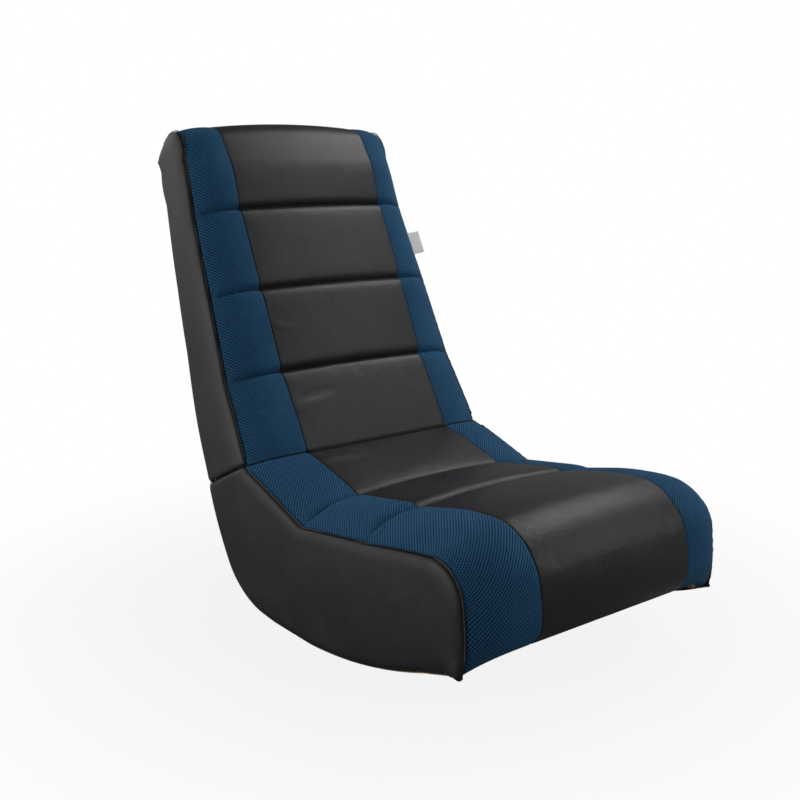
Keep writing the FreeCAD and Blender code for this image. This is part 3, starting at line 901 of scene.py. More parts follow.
@dataclass(frozen=True)
class Foam(Finish):
    """Cream open-celled foam.

    Attributes:
        skin: The colour of the cell walls.
        pore: The colour in the cells.
        cells: Cells per metre.
    """

    skin: Colour = (0.72, 0.66, 0.50, 1.0)
    pore: Colour = (0.42, 0.35, 0.23, 1.0)
    cells: float = 700.0

    def build(self, graph: Graph) -> None:
        """Small cells with darker pores.

        Args:
            graph: The material's empty node tree.
        """
        place = graph.place()
        pores = graph.cells(place, self.cells)
        lumps = graph.cloud(place, 60.0, 4.0)
        height = pores.ramp(0.1, 0.6) + lumps * 0.4
        graph.finish({
            "Base Color": graph.mixed(height.ramp(0.2, 1.0), self.skin, self.pore),
            "Roughness": 0.88 + lumps * 0.1,
            "Normal": graph.bump(height, 0.0006),
            "Specular IOR Level": 0.2,
        })


@dataclass(frozen=True)
class Wood(Finish):
    """Birch plywood or brown hardboard.

    Attributes:
        pale: The colour between the figure.
        dark: The colour of the figure.
        figure: How far the grain is drawn out along X, Y and Z.
        speckle: How strong the fibres are against the grain.
    """

    pale: Colour
    dark: Colour
    figure: Triple = (1.5, 22.0, 22.0)
    speckle: float = 0.25

    def build(self, graph: Graph) -> None:
        """Drawn-out growth rings with fine fibres.

        Args:
            graph: The material's empty node tree.
        """
        place = graph.place()
        grain = graph.cloud(graph.stretched(place, self.figure), 6.0, 5.0, 0.6)
        fibres = graph.cloud(graph.stretched(place, self.figure), 90.0, 3.0)
        rings = (grain * 46.0).cosine() * 0.5 + 0.5
        tint = rings * (0.6 - self.speckle) + fibres * self.speckle * 2.0 + grain * 0.3
        graph.finish({
            "Base Color": graph.mixed(tint.ramp(0.1, 0.95), self.pale, self.dark),
            "Roughness": 0.62 + fibres * 0.2,
            "Normal": graph.bump(rings * 0.3 + fibres, 0.0003),
        })


@dataclass(frozen=True)
class ZincSteel(Finish):
    """Zinc-plated steel, brushed and a little tarnished.

    Attributes:
        bright: The colour of the plating.
        dull: Its colour where it is tarnished.
        brushing: How far the brushing is drawn out along X, Y and Z.
    """

    bright: Colour = (0.62, 0.62, 0.60, 1.0)
    dull: Colour = (0.36, 0.36, 0.34, 1.0)
    brushing: Triple = (1.0, 40.0, 40.0)

    def build(self, graph: Graph) -> None:
        """Fine brushing over cloudy plating.

        Args:
            graph: The material's empty node tree.
        """
        place = graph.place()
        plating = graph.cloud(place, 140.0, 4.0)
        brushing = graph.cloud(graph.stretched(place, self.brushing), 160.0, 3.0)
        graph.finish({
            "Base Color": graph.mixed(plating.ramp(0.3, 0.8), self.bright, self.dull),
            "Metallic": 0.96 - plating * 0.12,
            "Roughness": 0.24 + plating * 0.16 + brushing * 0.14,
            "Normal": graph.bump(brushing, 0.00008),
        })


VINYL = Vinyl("black_vinyl_grain", "black_vinyl")
SIDE_VINYL = Vinyl("black_vinyl_sides", "black_vinyl", roughness=0.44, grain_depth=0.00010)
AIR_MESH = AirMesh("navy_air_mesh", "blue_mesh")
RAW_EDGE = RawEdge("seam_raw_edge", "black_vinyl")
LINING = Woven("black_lining_cloth", "black_lining", grey(0.020), grey(0.004))
THREAD = Woven("black_thread", "black_lining", grey(0.030), grey(0.006), 2600.0, 0.00012)
RIBBON = Woven("white_ribbon_weave", "white_ribbon", grey(0.90), grey(0.74), 1500.0, 0.00018)
FOAM = Foam("cream_foam", "foam")
PLYWOOD = Wood("birch_plywood", "plywood", colour(0.62, 0.46, 0.28), colour(0.40, 0.26, 0.13))
HARDBOARD = Wood(
    "brown_hardboard",
    "hardboard",
    colour(0.20, 0.115, 0.06),
    colour(0.10, 0.055, 0.03),
    figure=(14.0, 14.0, 14.0),
    speckle=0.45,
)
STEEL = ZincSteel("zinc_plated_steel", "zinc_steel")


# Meshes
def sheet_mesh(
    name: str,
    columns: int,
    rows: int,
    place: Callable[[int, int], Placed],
    outward: Vector,
) -> bpy.types.Object:
    """A grid laid over a surface, with its own UV map in metres.

    Args:
        name: The piece's name.
        columns: Steps across.
        rows: Steps along.
        place: Gives a column's and row's place, and its place on the flat cloth.
        outward: Roughly where the middle of the piece faces.

    Returns:
        The new object, linked to the scene.
    """
    bm = bmesh.new()
    bmesh.ops.create_grid(bm, x_segments=columns, y_segments=rows, size=1.0)
    layer = bm.loops.layers.uv.new("flat")
    flat = {}
    for vert in bm.verts:
        column = round((vert.co.x + 1.0) / 2.0 * columns)
        row = round((vert.co.y + 1.0) / 2.0 * rows)
        vert.co, flat[vert] = place(column, row)
    for face in bm.faces:
        face.smooth = True
        for loop in face.loops:
            loop[layer].uv = flat[loop.vert].xy
    turn_toward(bm, outward)
    return finished(name, bm)


def turn_toward(bm: bmesh.types.BMesh, outward: Vector) -> None:
    """Turn all faces over where most of them face away from a direction.

    Args:
        bm: The mesh.
        outward: The direction that they should face.
    """
    bm.normal_update()
    facing = sum((face.normal * face.calc_area() for face in bm.faces), Vector())
    if facing.dot(outward) < 0.0:
        bmesh.ops.reverse_faces(bm, faces=bm.faces[:])


def linked(name: str, data: bpy.types.ID) -> bpy.types.Object:
    """A new object with the data, linked to the scene.

    Args:
        name: Its name.
        data: The mesh, lamp or camera.

    Returns:
        The new object.
    """
    made = bpy.data.objects.new(name, data)
    bpy.context.scene.collection.objects.link(made)
    return made


def finished(name: str, bm: bmesh.types.BMesh) -> bpy.types.Object:
    """A new object with the mesh, which is freed.

    Args:
        name: Its name.
        bm: The mesh.

    Returns:
        The new object.
    """
    mesh = bpy.data.meshes.new(name)
    bm.to_mesh(mesh)
    bm.free()
    return linked(name, mesh)


@contextmanager
def edited(piece: bpy.types.Object) -> Iterator[bmesh.types.BMesh]:
    """The mesh of an object for editing, written back at the end.

    Args:
        piece: The object.

    Returns:
        The mesh, for as long as the block lasts.
    """
    bm = bmesh.new()
    bm.from_mesh(piece.data)
    yield bm
    bm.to_mesh(piece.data)
    bm.free()


def dressed(piece: bpy.types.Object, finish: Finish, body: str, *replaced: str) -> bpy.types.Object:
    """Give a piece its finish and body, and let it stand for CAD nodes.

    Args:
        piece: The piece.
        finish: Its finish.
        body: The body that it rides on.
        replaced: The CAD nodes that it stands for.

    Returns:
        The piece.
    """
    piece.data.materials.clear()
    piece.data.materials.append(finish.material())
    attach(piece, body)
    if replaced:
        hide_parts(*replaced)
    log.info("%s: %d faces on %s", piece.name, len(piece.data.polygons), body)
    return piece


def thickened(piece: bpy.types.Object, thickness: float, levels: int = 1) -> None:
    """Back a cover with its padding and round it off.

    Args:
        piece: The cover.
        thickness: How thick its padding is.
        levels: How often it is subdivided.
    """
    shell = piece.modifiers.new("padding", "SOLIDIFY")
    shell.thickness = thickness
    shell.offset = -1.0
    shell.use_even_offset = False
    if levels:
        smooth = piece.modifiers.new("soft", "SUBSURF")
        smooth.levels = levels
        smooth.render_levels = levels


def tube(
    name: str, path: list[Vector], side: Vector, radii: tuple[float, float], sides: int
) -> bpy.types.Object:
    """A closed tube round a path, with its own UV map in metres.

    Args:
        name: The piece's name.
        path: The middle of the tube, point by point.
        side: A direction square to the path.
        radii: Half its size along the side direction and square to it.
        sides: How many faces go round it.

    Returns:
        The new object.
    """
    reach = [0.0]
    for a, b in zip(path, path[1:]):
        reach.append(reach[-1] + (b - a).length)
    girth = radii[0] * 6.0

    def place(column: int, row: int) -> Placed:
        """The place of one point of the tube's skin."""
        ahead = path[min(row + 1, len(path) - 1)] - path[max(row - 1, 0)]
        up = ahead.cross(side).normalized()
        turn = 2.0 * math.pi * column / sides
        skin = side * (math.cos(turn) * radii[0]) + up * (math.sin(turn) * radii[1])
        return path[row] + skin, Vector((column / sides * girth, reach[row], 0.0))

    made = sheet_mesh(name, sides, len(path) - 1, place, side)
    with edited(made) as bm:
        bmesh.ops.remove_doubles(bm, verts=bm.verts[:], dist=JOIN)
        bmesh.ops.holes_fill(bm, edges=bm.edges[:], sides=0)
        bmesh.ops.recalc_face_normals(bm, faces=bm.faces[:])
    return made


def evenly(path: list[Vector], pitch: float) -> list[tuple[Vector, Vector]]:
    """Places along a path at a pitch.

    Args:
        path: The path's points, in order.
        pitch: The distance from one place to the next.

    Returns:
        Each place, with the direction of the path there.
    """
    made = []
    due = pitch / 2.0
    for a, b in zip(path, path[1:]):
        length = (b - a).length
        while due < length:
            made.append((a.lerp(b, due / length), (b - a).normalized()))
            due += pitch
        due -= length
    return made


@dataclass
class Stitching:
    """Rows of short thread stitches along sewn lines, all as one piece.

    Attributes:
        pitch: From one stitch to the next.
        half_length: Half the length of a stitch.
        half_width: Half its thickness.
    """

    pitch: float = 0.0050
    half_length: float = 0.0018
    half_width: float = 0.0006

    def build(self, name: str, paths: list[list[Vector]]) -> bpy.types.Object:
        """The stitches along some paths.

        Args:
            name: The piece's name.
            paths: The points of each sewn line.

        Returns:
            The new object.
        """
        bm = bmesh.new()
        for path in paths:
            for place, ahead in evenly(path, self.pitch):
                turn = ahead.to_track_quat("X", "Z").to_matrix().to_4x4()
                size = Matrix.Diagonal((self.half_length, self.half_width, self.half_width, 1.0))
                matrix = Matrix.Translation(place) @ turn @ size
                bmesh.ops.create_uvsphere(bm, u_segments=6, v_segments=4, radius=1.0, matrix=matrix)
        for face in bm.faces:
            face.smooth = True
        return finished(name, bm)


@dataclass
class Inflation:
    """Cloth simulation that swells sewn covers, all of them at once.

    Attributes:
        frames: How many frames it runs.
        steps: How many steps it takes for each frame.
        mass: The mass of each point of the cloth.
        stretching: How stiff the cloth is against stretching and squashing.
        shearing: How stiff it is against shearing.
        pressure: The pressure under the covers.
        growth: How much wider than its place the cloth is cut, as a share.
        cap: The furthest that a point may move.
        covers: The covers, each with its stiffness against bending.
    """

    frames: int = 20
    steps: int = 5
    mass: float = 0.15
    stretching: float = 25.0
    shearing: float = 15.0
    pressure: float = 0.9
    growth: float = 0.0005
    cap: float = 0.006
    covers: list[tuple[bpy.types.Object, float]] = field(default_factory=list)

    def add(self, piece: bpy.types.Object, held: Callable[[Vector], float], stiffness: float) -> None:
        """Take a cover, with how firmly each point of its flat cloth is held.

        Args:
            piece: The cover, as a plain grid.
            held: The hold at a place on the flat cloth, from 0 to 1.
            stiffness: How stiff the cloth is against bending.
        """
        group = piece.vertex_groups.new(name="held")
        layer = piece.data.uv_layers["flat"]
        seen: dict[int, float] = {}
        for loop in piece.data.loops:
            seen[loop.vertex_index] = held(layer.data[loop.index].uv)
        for index, weight in seen.items():
            group.add([index], weight, "REPLACE")
        self.covers.append((piece, stiffness))

    def run(self) -> None:
        """Swell the covers and keep the result, capped."""
        for piece, stiffness in self.covers:
            settings = piece.modifiers.new("swell", "CLOTH").settings
            settings.vertex_group_mass = "held"
            settings.quality = self.steps
            settings.mass = self.mass
            settings.tension_stiffness = self.stretching
            settings.compression_stiffness = self.stretching
            settings.shear_stiffness = self.shearing
            settings.bending_stiffness = stiffness
            settings.pin_stiffness = 1.0
            settings.use_pressure = True
            settings.uniform_pressure_force = self.pressure
            settings.shrink_min = -self.growth
            settings.effector_weights.gravity = 0.0
        scene = bpy.context.scene
        for number in range(1, self.frames + 1):
            scene.frame_set(number)
        depsgraph = bpy.context.evaluated_depsgraph_get()
        for piece, _ in self.covers:
            swollen = [v.co.copy() for v in piece.evaluated_get(depsgraph).data.vertices]
            for vert, co in zip(piece.data.vertices, swollen):
                move = co - vert.co
                if move.length > self.cap:
                    move *= self.cap / move.length
                vert.co += move
            piece.modifiers.clear()
            piece.vertex_groups.clear()
            piece.data.update()
        scene.frame_set(1)


@dataclass(frozen=True)
class Crease:
    """One fold pressed into a cover.

    Attributes:
        x: Where its middle lies across the chair.
        along: Its distance up the cover from the fold.
        half_length: Half its length across.
        width: How wide it is.
        height: How high it stands, below zero for a hollow.
        slope: How much it climbs for each metre across.
    """

    x: float
    along: float
    half_length: float
    width: float
    height: float
    slope: float = 0.0

    def lift(self, x: float, along: float) -> float:
        """How far it raises the cover at a place.

        Args:
            x: The place across the chair.
            along: Its distance from the fold.

        Returns:
            The lift, below zero in a hollow.
        """
        middle = self.along + (x - self.x) * self.slope
        end = max(0.0, 1.0 - ((x - self.x) / self.half_length) ** 2)
        return self.height * end * math.exp(-(((along - middle) / self.width) ** 2))


@dataclass
class Quilt:
    """The quilted front of one section: a vinyl middle between two mesh strips.

    Attributes:
        section: The section that it covers.
        middle: The knots of its middle line.
        seam: The knots of its outer seam.
        line_of: Makes a line through knots with the swell of its channels.
        seam_x: The outer seam's x at a height.
        counts: Steps along each stretch.
        outward: Roughly where it faces.
        side_view: The chair's side view.
        creases: Folds in the vinyl.
        crown: How far the vinyl's middle stands over its edges.
        evenness: How evenly the vinyl's columns are spaced. The rest of them crowd toward its edges.
        groove_end: Where the grooves start to fade, 1 at the vinyl's edge and 2 at the outer seam.
        groove_fade: How far on from there they end.
        dip_depth: How far the vinyl sinks at its edge, and dip_width how soon that ends.
        strip_sink: How much more than the vinyl the mesh sinks there.
        under_vinyl: How far the mesh reaches in under the vinyl.
        fall: How steeply the strips fall to the outer seam, as a power.
        soft_reach: How many points beside a smooth knot are smoothed, and soft_rounds how often.
        vinyl_bending: The vinyl's stiffness against bending, and mesh_bending the mesh's.
        sewn_within: How close to a seam the cloth is held fast.
        loose_hold: How firmly it is held in the open, and near_hold how much firmer near a seam.
        hold_fade: How soon the hold falls away from a seam.
        sewn_rows: The rows of the grid at the fold and the grooves.
        knots_at: How far along the cloth those rows lie.
        grooves: The line of each groove across each cover.
    """

    section: Section
    middle: list[Point]
    seam: list[Point]
    line_of: Callable[[Sequence[Point], float, float, float], Line]
    seam_x: Callable[[float], float]
    counts: Sequence[int]
    outward: Vector
    side_view: SideView
    creases: Sequence[Crease] = ()
    middle_half_width: float = MIDDLE_HALF_WIDTH
    crown: float = 0.006
    evenness: float = 0.35
    groove_end: float = 1.78
    groove_fade: float = 0.16
    dip_depth: float = 0.0005
    dip_width: float = 0.0030
    strip_sink: float = 2.0
    under_vinyl: float = 0.0030
    fall: int = 3
    soft_reach: int = 5
    soft_rounds: int = 12
    vinyl_bending: float = 4.0
    mesh_bending: float = 1.5
    sewn_within: float = 0.003
    loose_hold: float = 0.02
    near_hold: float = 0.5
    hold_fade: float = 0.006
    middle_columns: int = 50
    strip_columns: int = 22
    padding: float = 0.014
    sewn_rows: list[int] = field(default_factory=list)
    knots_at: list[float] = field(default_factory=list)
    grooves: list[list[Vector]] = field(default_factory=list)

    def row(self, share: float, across: float) -> list[Point]:
        """One line of the cover.

        Args:
            share: How far it has fallen from the middle line to the seam, from 0 to 1.
            across: Its place in the vinyl middle, from -1 to 1, or beyond it.

        Returns:
            The points along it.
        """
        lift = self.crown * max(0.0, 1.0 - across**2) * self.section.inside
        raised = moved_out(self.middle, [0.0] + [lift] * (len(self.middle) - 2) + [0.0])
        knots = [between(a, b, share) for a, b in zip(raised, self.seam)]
        view = self.side_view
        puff = view.channel_puff + (view.edge_puff - view.channel_puff) * share
        fold_puff = view.fold_channel_puff + (view.edge_puff - view.fold_channel_puff) * share
        notch = GROOVE_NOTCH * (1.0 - eased((across - self.groove_end) / self.groove_fade))
        line = self.line_of(knots, puff, fold_puff, notch)
        points = line.stretch_points(self.counts)
        self.soften(points, line)
        indices = line.knots(self.counts)
        self.sewn_rows = [indices[knot] for knot in line.knots_of(Knot.FOLD, Knot.GROOVE)]
        return points

    def soften(self, points: list[Point], line: Line) -> None:
        """Smooth the knots that the cover passes over.

        Args:
            points: The points of a line, which are moved.
            line: The line.
        """
        indices = line.knots(self.counts)
        for knot in line.knots_of(Knot.SMOOTH):
            centre = indices[knot]
            low = max(1, centre - self.soft_reach)
            high = min(len(points) - 2, centre + self.soft_reach)
            for _ in range(self.soft_rounds):
                for i in range(low, high + 1):
                    points[i] = between(points[i], between(points[i - 1], points[i + 1], 0.5), 0.5)

    def grid(self, name: str, lines: list[tuple[Callable[[float], float], list[Point]]]) -> bpy.types.Object:
        """A cover over lines side by side.

        Args:
            name: The piece's name.
            lines: For each line its x at a height, and its points.

        Returns:
            The new object.
        """
        reach = reaches(lines[len(lines) // 2][1])
        outward = [right_of_way(points) for _, points in lines]

        def place(column: int, row: int) -> Placed:
            """The place of one grid point."""
            x_at, points = lines[column]
            y, z = points[row]
            x = x_at(z)
            along = reach[row]
            raised = sum(crease.lift(x, along) for crease in self.creases) * self.section.inside
            normal = outward[column][row]
            return Vector((x, y + normal[0] * raised, z + normal[1] * raised)), Vector((x, along, 0.0))

        for row in self.sewn_rows[1:]:
            self.grooves.append([place(column, row)[0] for column in range(len(lines))])
        self.knots_at = [reach[row] for row in self.sewn_rows]
        return sheet_mesh(name, len(lines) - 1, len(lines[0][1]) - 1, place, self.outward)

    def dip(self, inset: float) -> float:
        """How far the covers sink beside the seam between vinyl and mesh."""
        return -self.section.inside * self.dip_depth * math.exp(-inset / self.dip_width)

    def build_middle(self) -> bpy.types.Object:
        """The vinyl middle, whose columns crowd toward its edges.

        Returns:
            The new object.
        """
        lines = []
        for column in range(self.middle_columns + 1):
            even = 2.0 * column / self.middle_columns - 1.0
            across = self.evenness * even + (1.0 - self.evenness) * math.sin(even * math.pi / 2.0)
            points = self.row(0.0, across)
            inset = self.middle_half_width * (1.0 - abs(across))
            x = across * self.middle_half_width
            lines.append((lambda z, x=x: x, shifted(points, self.dip(inset))))
        return self.grid(self.section.named("centre_cover"), lines)

    def build_strip(self, side: Side) -> bpy.types.Object:
        """The mesh strip on one side.

        Args:
            side: The side.

        Returns:
            The new object.
        """
        lines = []
        for column in range(self.strip_columns + 1):
            share = column / self.strip_columns
            points = self.row(share**self.fall, 1.0 + share)
            inset = share * (self.seam_x(points[0][1]) - self.middle_half_width)

            def x_at(z: float, share: float = share) -> float:
                """The line's x at a height."""
                start = self.middle_half_width - self.under_vinyl
                return side.value * (start + (self.seam_x(z) - start) * share)

            lines.append((x_at, shifted(points, self.dip(inset) * self.strip_sink)))
        return self.grid(self.section.named("strip_" + side.word), lines)

    def hold(self, low: float, high: float, length: float) -> Callable[[Vector], float]:
        """How firmly a cover is sewn down.

        Args:
            low: Where its inner edge lies across the chair, or 0 for a cover over the middle.
            high: Where its outer edge lies.
            length: How long it is.

        Returns:
            A function that gives the hold at a place on the flat cloth.
        """
        sewn = [*self.knots_at, 0.0, length]

        def held(uv: Vector) -> float:
            """The hold at one place."""
            edge = min(abs(abs(uv[0]) - low), abs(abs(uv[0]) - high)) if low else high - abs(uv[0])
            near = min(edge, min(abs(uv[1] - place) for place in sewn))
            if near < self.sewn_within:
                return 1.0
            return self.loose_hold + self.near_hold * math.exp(-near / self.hold_fade)

        return held

    def build(self, inflation: Inflation) -> list[bpy.types.Object]:
        """All three covers.

        Args:
            inflation: Takes them, to swell them later.

        Returns:
            The middle, then the left and the right strip.
        """
        middle = self.build_middle()
        inflation.add(middle, self.hold(0.0, self.middle_half_width, self.length(middle)), self.vinyl_bending)
        outer = self.seam_x(self.seam[1][1])
        pieces = [middle]
        for side in Side:
            strip = self.build_strip(side)
            held = self.hold(self.middle_half_width, outer, self.length(strip))
            inflation.add(strip, held, self.mesh_bending)
            pieces.append(strip)
        return pieces

    @staticmethod
    def length(piece: bpy.types.Object) -> float:
        """How long the flat cloth of a piece is."""
        return max(loop.uv[1] for loop in piece.data.uv_layers["flat"].data)

    def dress(self, pieces: list[bpy.types.Object]) -> None:
        """Thicken the covers and give them their finishes.

        Args:
            pieces: The middle, then the left and the right strip.
        """
        looks = (("centre_pad", VINYL), ("mesh_left", AIR_MESH), ("mesh_right", AIR_MESH))
        for piece, (node, finish) in zip(pieces, looks):
            thickened(piece, self.padding)
            dressed(piece, finish, self.section.body, self.section.named(node))


@dataclass
class SideCover:
    """The padded vinyl side of one section, from the outer seam round its lower or rear edge.

    Attributes:
        section: The section that it covers.
        top: The outer seam, from the gap on.
        bottom: The lower or rear edge, from the gap on.
        seam_x: The outer seam's x at a height.
        side_view: The chair's side view.
        tuck: How far it is turned in past the corner.
        tuck_fade: The height of the side below which it is turned in less.
        end_round: The least shoulder where the side narrows to nothing.
        proud: How far the panel stands out over the seam, and swell how much more its middle does.
        shoulder: How wide the rounding beside the seam is.
        crowding: How much the rows of the panel crowd toward its edges.
        corner: The radius of the lower or rear corner.
        corner_share: The most of the side's height that it takes.
        lip: How wide the rounding beside the gap is, and lip_drop how deep.
        unevenness: How far the cover wanders in and out, and lumps how often for each metre.
        padding: How thick it is.
    """

    section: Section
    top: Line
    bottom: Line
    seam_x: Callable[[float], float]
    side_view: SideView
    tuck: float
    tuck_fade: float = 0.060
    end_round: float = 0.014
    proud: float = SIDE_PROUD
    swell: float = 0.0015
    shoulder: float = 0.026
    crowding: float = 0.35
    corner: float = 0.016
    corner_share: float = 0.45
    lip: float = 0.007
    lip_drop: float = 0.0045
    unevenness: float = 0.0007
    lumps: float = 14.0
    padding: float = 0.004
    columns: int = 130
    panel_rows: int = 30
    corner_rows: int = 8
    tuck_rows: int = 3

    def build(self, side: Side) -> bpy.types.Object:
        """The side cover on one side.

        Args:
            side: The side.

        Returns:
            The new object.
        """
        tops = self.top.even_points(self.columns)
        bottoms = self.bottom.even_points(self.columns)
        inward = right_of_way(bottoms)
        middle = self.columns // 2
        toward_top = Vector(tops[middle]) - Vector(bottoms[middle])
        if Vector(inward[middle]).dot(toward_top) < 0.0:
            inward = [(-y, -z) for y, z in inward]
        rows = self.panel_rows + self.corner_rows + self.tuck_rows

        def place(column: int, row: int) -> Placed:
            """The place of one grid point."""
            return self.point(side, tops[column], bottoms[column], inward[column], row)

        name = self.section.named("side_" + side.word)
        return sheet_mesh(name, self.columns, rows, place, Vector((side.value, 0.0, 0.0)))

    def point(self, side: Side, top: Point, bottom: Point, inward: Point, row: int) -> Placed:
        """One point of the cover: on the panel, round the corner or in the tuck.

        Args:
            side: The side of the chair.
            top: The point of the outer seam in its column.
            bottom: The point of the lower or rear edge in its column.
            inward: The direction from that edge into the panel.
            row: Its row.

        Returns:
            Its place, and its place on the flat cloth.
        """
        span = distance(top, bottom)
        corner = min(self.corner, self.corner_share * span)
        edge = (bottom[0] + inward[0] * corner, bottom[1] + inward[1] * corner)
        if row <= self.panel_rows:
            even = row / self.panel_rows
            share = eased(even) * self.crowding + even * (1.0 - self.crowding)
            place = between(top, edge, share)
            reach = share * distance(top, edge)
            shoulder = min(self.shoulder, max(0.5 * span, self.end_round))
            inset = self.proud * (1.0 - rounded(reach / shoulder))
            x = self.outer_x(place) - inset + self.swell * math.sin(math.pi * share)
        elif row <= self.panel_rows + self.corner_rows:
            turn = math.pi / 2.0 * (row - self.panel_rows) / self.corner_rows
            place = between(edge, bottom, math.sin(turn))
            x = self.outer_x(place) - corner * (1.0 - math.cos(turn))
        else:
            place = bottom
            share = (row - self.panel_rows - self.corner_rows) / self.tuck_rows
            x = self.outer_x(place) - corner - self.tuck * share * min(1.0, span / self.tuck_fade)
        lip = abs(self.side_view.from_gap(place)) / self.lip
        x -= self.lip_drop * (1.0 - rounded(lip))
        spot = Vector((side.value * 3.0, place[0] * self.lumps, place[1] * self.lumps))
        x += self.unevenness * noise.noise(spot)
        return Vector((side.value * x, place[0], place[1])), Vector((place[0], place[1], 0.0))

    def outer_x(self, place: Point) -> float:
        """The x of the flat of the panel."""
        return self.seam_x(place[1]) + self.proud

    def dress(self, piece: bpy.types.Object, node: str) -> None:
        """Thicken the cover and give it its finish.

        Args:
            piece: The cover.
            node: The CAD node that it stands for.
        """
        thickened(piece, self.padding)
        dressed(piece, SIDE_VINYL, self.section.body, node)


@dataclass
class RearCover:
    """The vinyl over the rear of the back, between its two side covers.

    Attributes:
        line: The rear line in the side view, from the gap up.
        half_width: Half the back's width at a height.
        corner: The radius of the side covers' corners, where it ends.
        swell: How far its middle stands out.
        edge_sink: How far its edges lie under the corners.
        row_length: How long one row is on the flat cloth.
        padding: How thick it is.
    """

    line: Line
    half_width: Callable[[float], float]
    corner: float
    swell: float = 0.004
    edge_sink: float = 0.0012
    row_length: float = 0.004
    padding: float = 0.003
    columns: int = 50
    rows: int = 110

    def build(self) -> bpy.types.Object:
        """The rear cover, a little proud along its middle.

        Returns:
            The new object.
        """
        points = self.line.even_points(self.rows)
        outward = right_of_way(points)

        def place(column: int, row: int) -> Placed:
            """The place of one grid point."""
            across = 2.0 * column / self.columns - 1.0
            ends = math.sin(math.pi * row / self.rows) ** 0.5
            lift = self.swell * (1.0 - across**4) * ends - self.edge_sink * abs(across) ** 8
            y = points[row][0] + outward[row][0] * lift
            z = points[row][1] + outward[row][1] * lift
            x = across * (self.half_width(points[row][1]) - self.corner)
            return Vector((x, y, z)), Vector((x, row * self.row_length, 0.0))

        return sheet_mesh("back_rear_vinyl", self.columns, self.rows, place, Vector((0.0, 1.0, 0.0)))

    def dress(self, piece: bpy.types.Object) -> None:
        """Thicken the cover and give it its finish.

        Args:
            piece: The cover.
        """
        thickened(piece, self.padding)
        nodes = [Section.BACK.named(rest) for rest in ("rear_cover", "side_foam_left", "side_foam_right")]
        dressed(piece, SIDE_VINYL, Section.BACK.body, *nodes)


@dataclass
class SeamEdge:
    """The folded allowance that stands up along an outer seam, with bare backing here and there.

    Attributes:
        section: The section that it runs along.
        line: The outer seam in the side view.
        seam_x: The seam's x at a height.
        proud: How far it stands off the seam, outward and to the side.
        wander: How far it wanders, and wander_pace how fast from one step to the next.
        radii: Half its width and half its thickness.
        steps: How many steps the seam has.
        left_off: How many of them are left off at each end.
    """

    section: Section
    line: Line
    seam_x: Callable[[float], float]
    proud: float = 0.0004
    wander: float = 0.0004
    wander_pace: float = 0.35
    radii: tuple[float, float] = (0.0010, 0.0008)
    steps: int = 260
    left_off: int = 6

    def build(self, side: Side) -> bpy.types.Object:
        """The edge on one side, a little short of both ends of the seam.

        Args:
            side: The side.

        Returns:
            The new object.
        """
        points = self.line.even_points(self.steps)[self.left_off:-self.left_off]
        normals = right_of_way(points)
        path = []
        for i, (point, normal) in enumerate(zip(points, normals)):
            wander = self.wander * noise.noise(Vector((side.value * 5.0, i * self.wander_pace, 0.0)))
            x = side.value * (self.seam_x(point[1]) + self.proud + wander)
            lift = self.section.inside * (self.proud + wander)
            path.append(Vector((x, point[0] + normal[0] * lift, point[1] + normal[1] * lift)))
        name = self.section.named("seam_edge_" + side.word)
        return tube(name, path, Vector((1.0, 0.0, 0.0)), self.radii, 8)


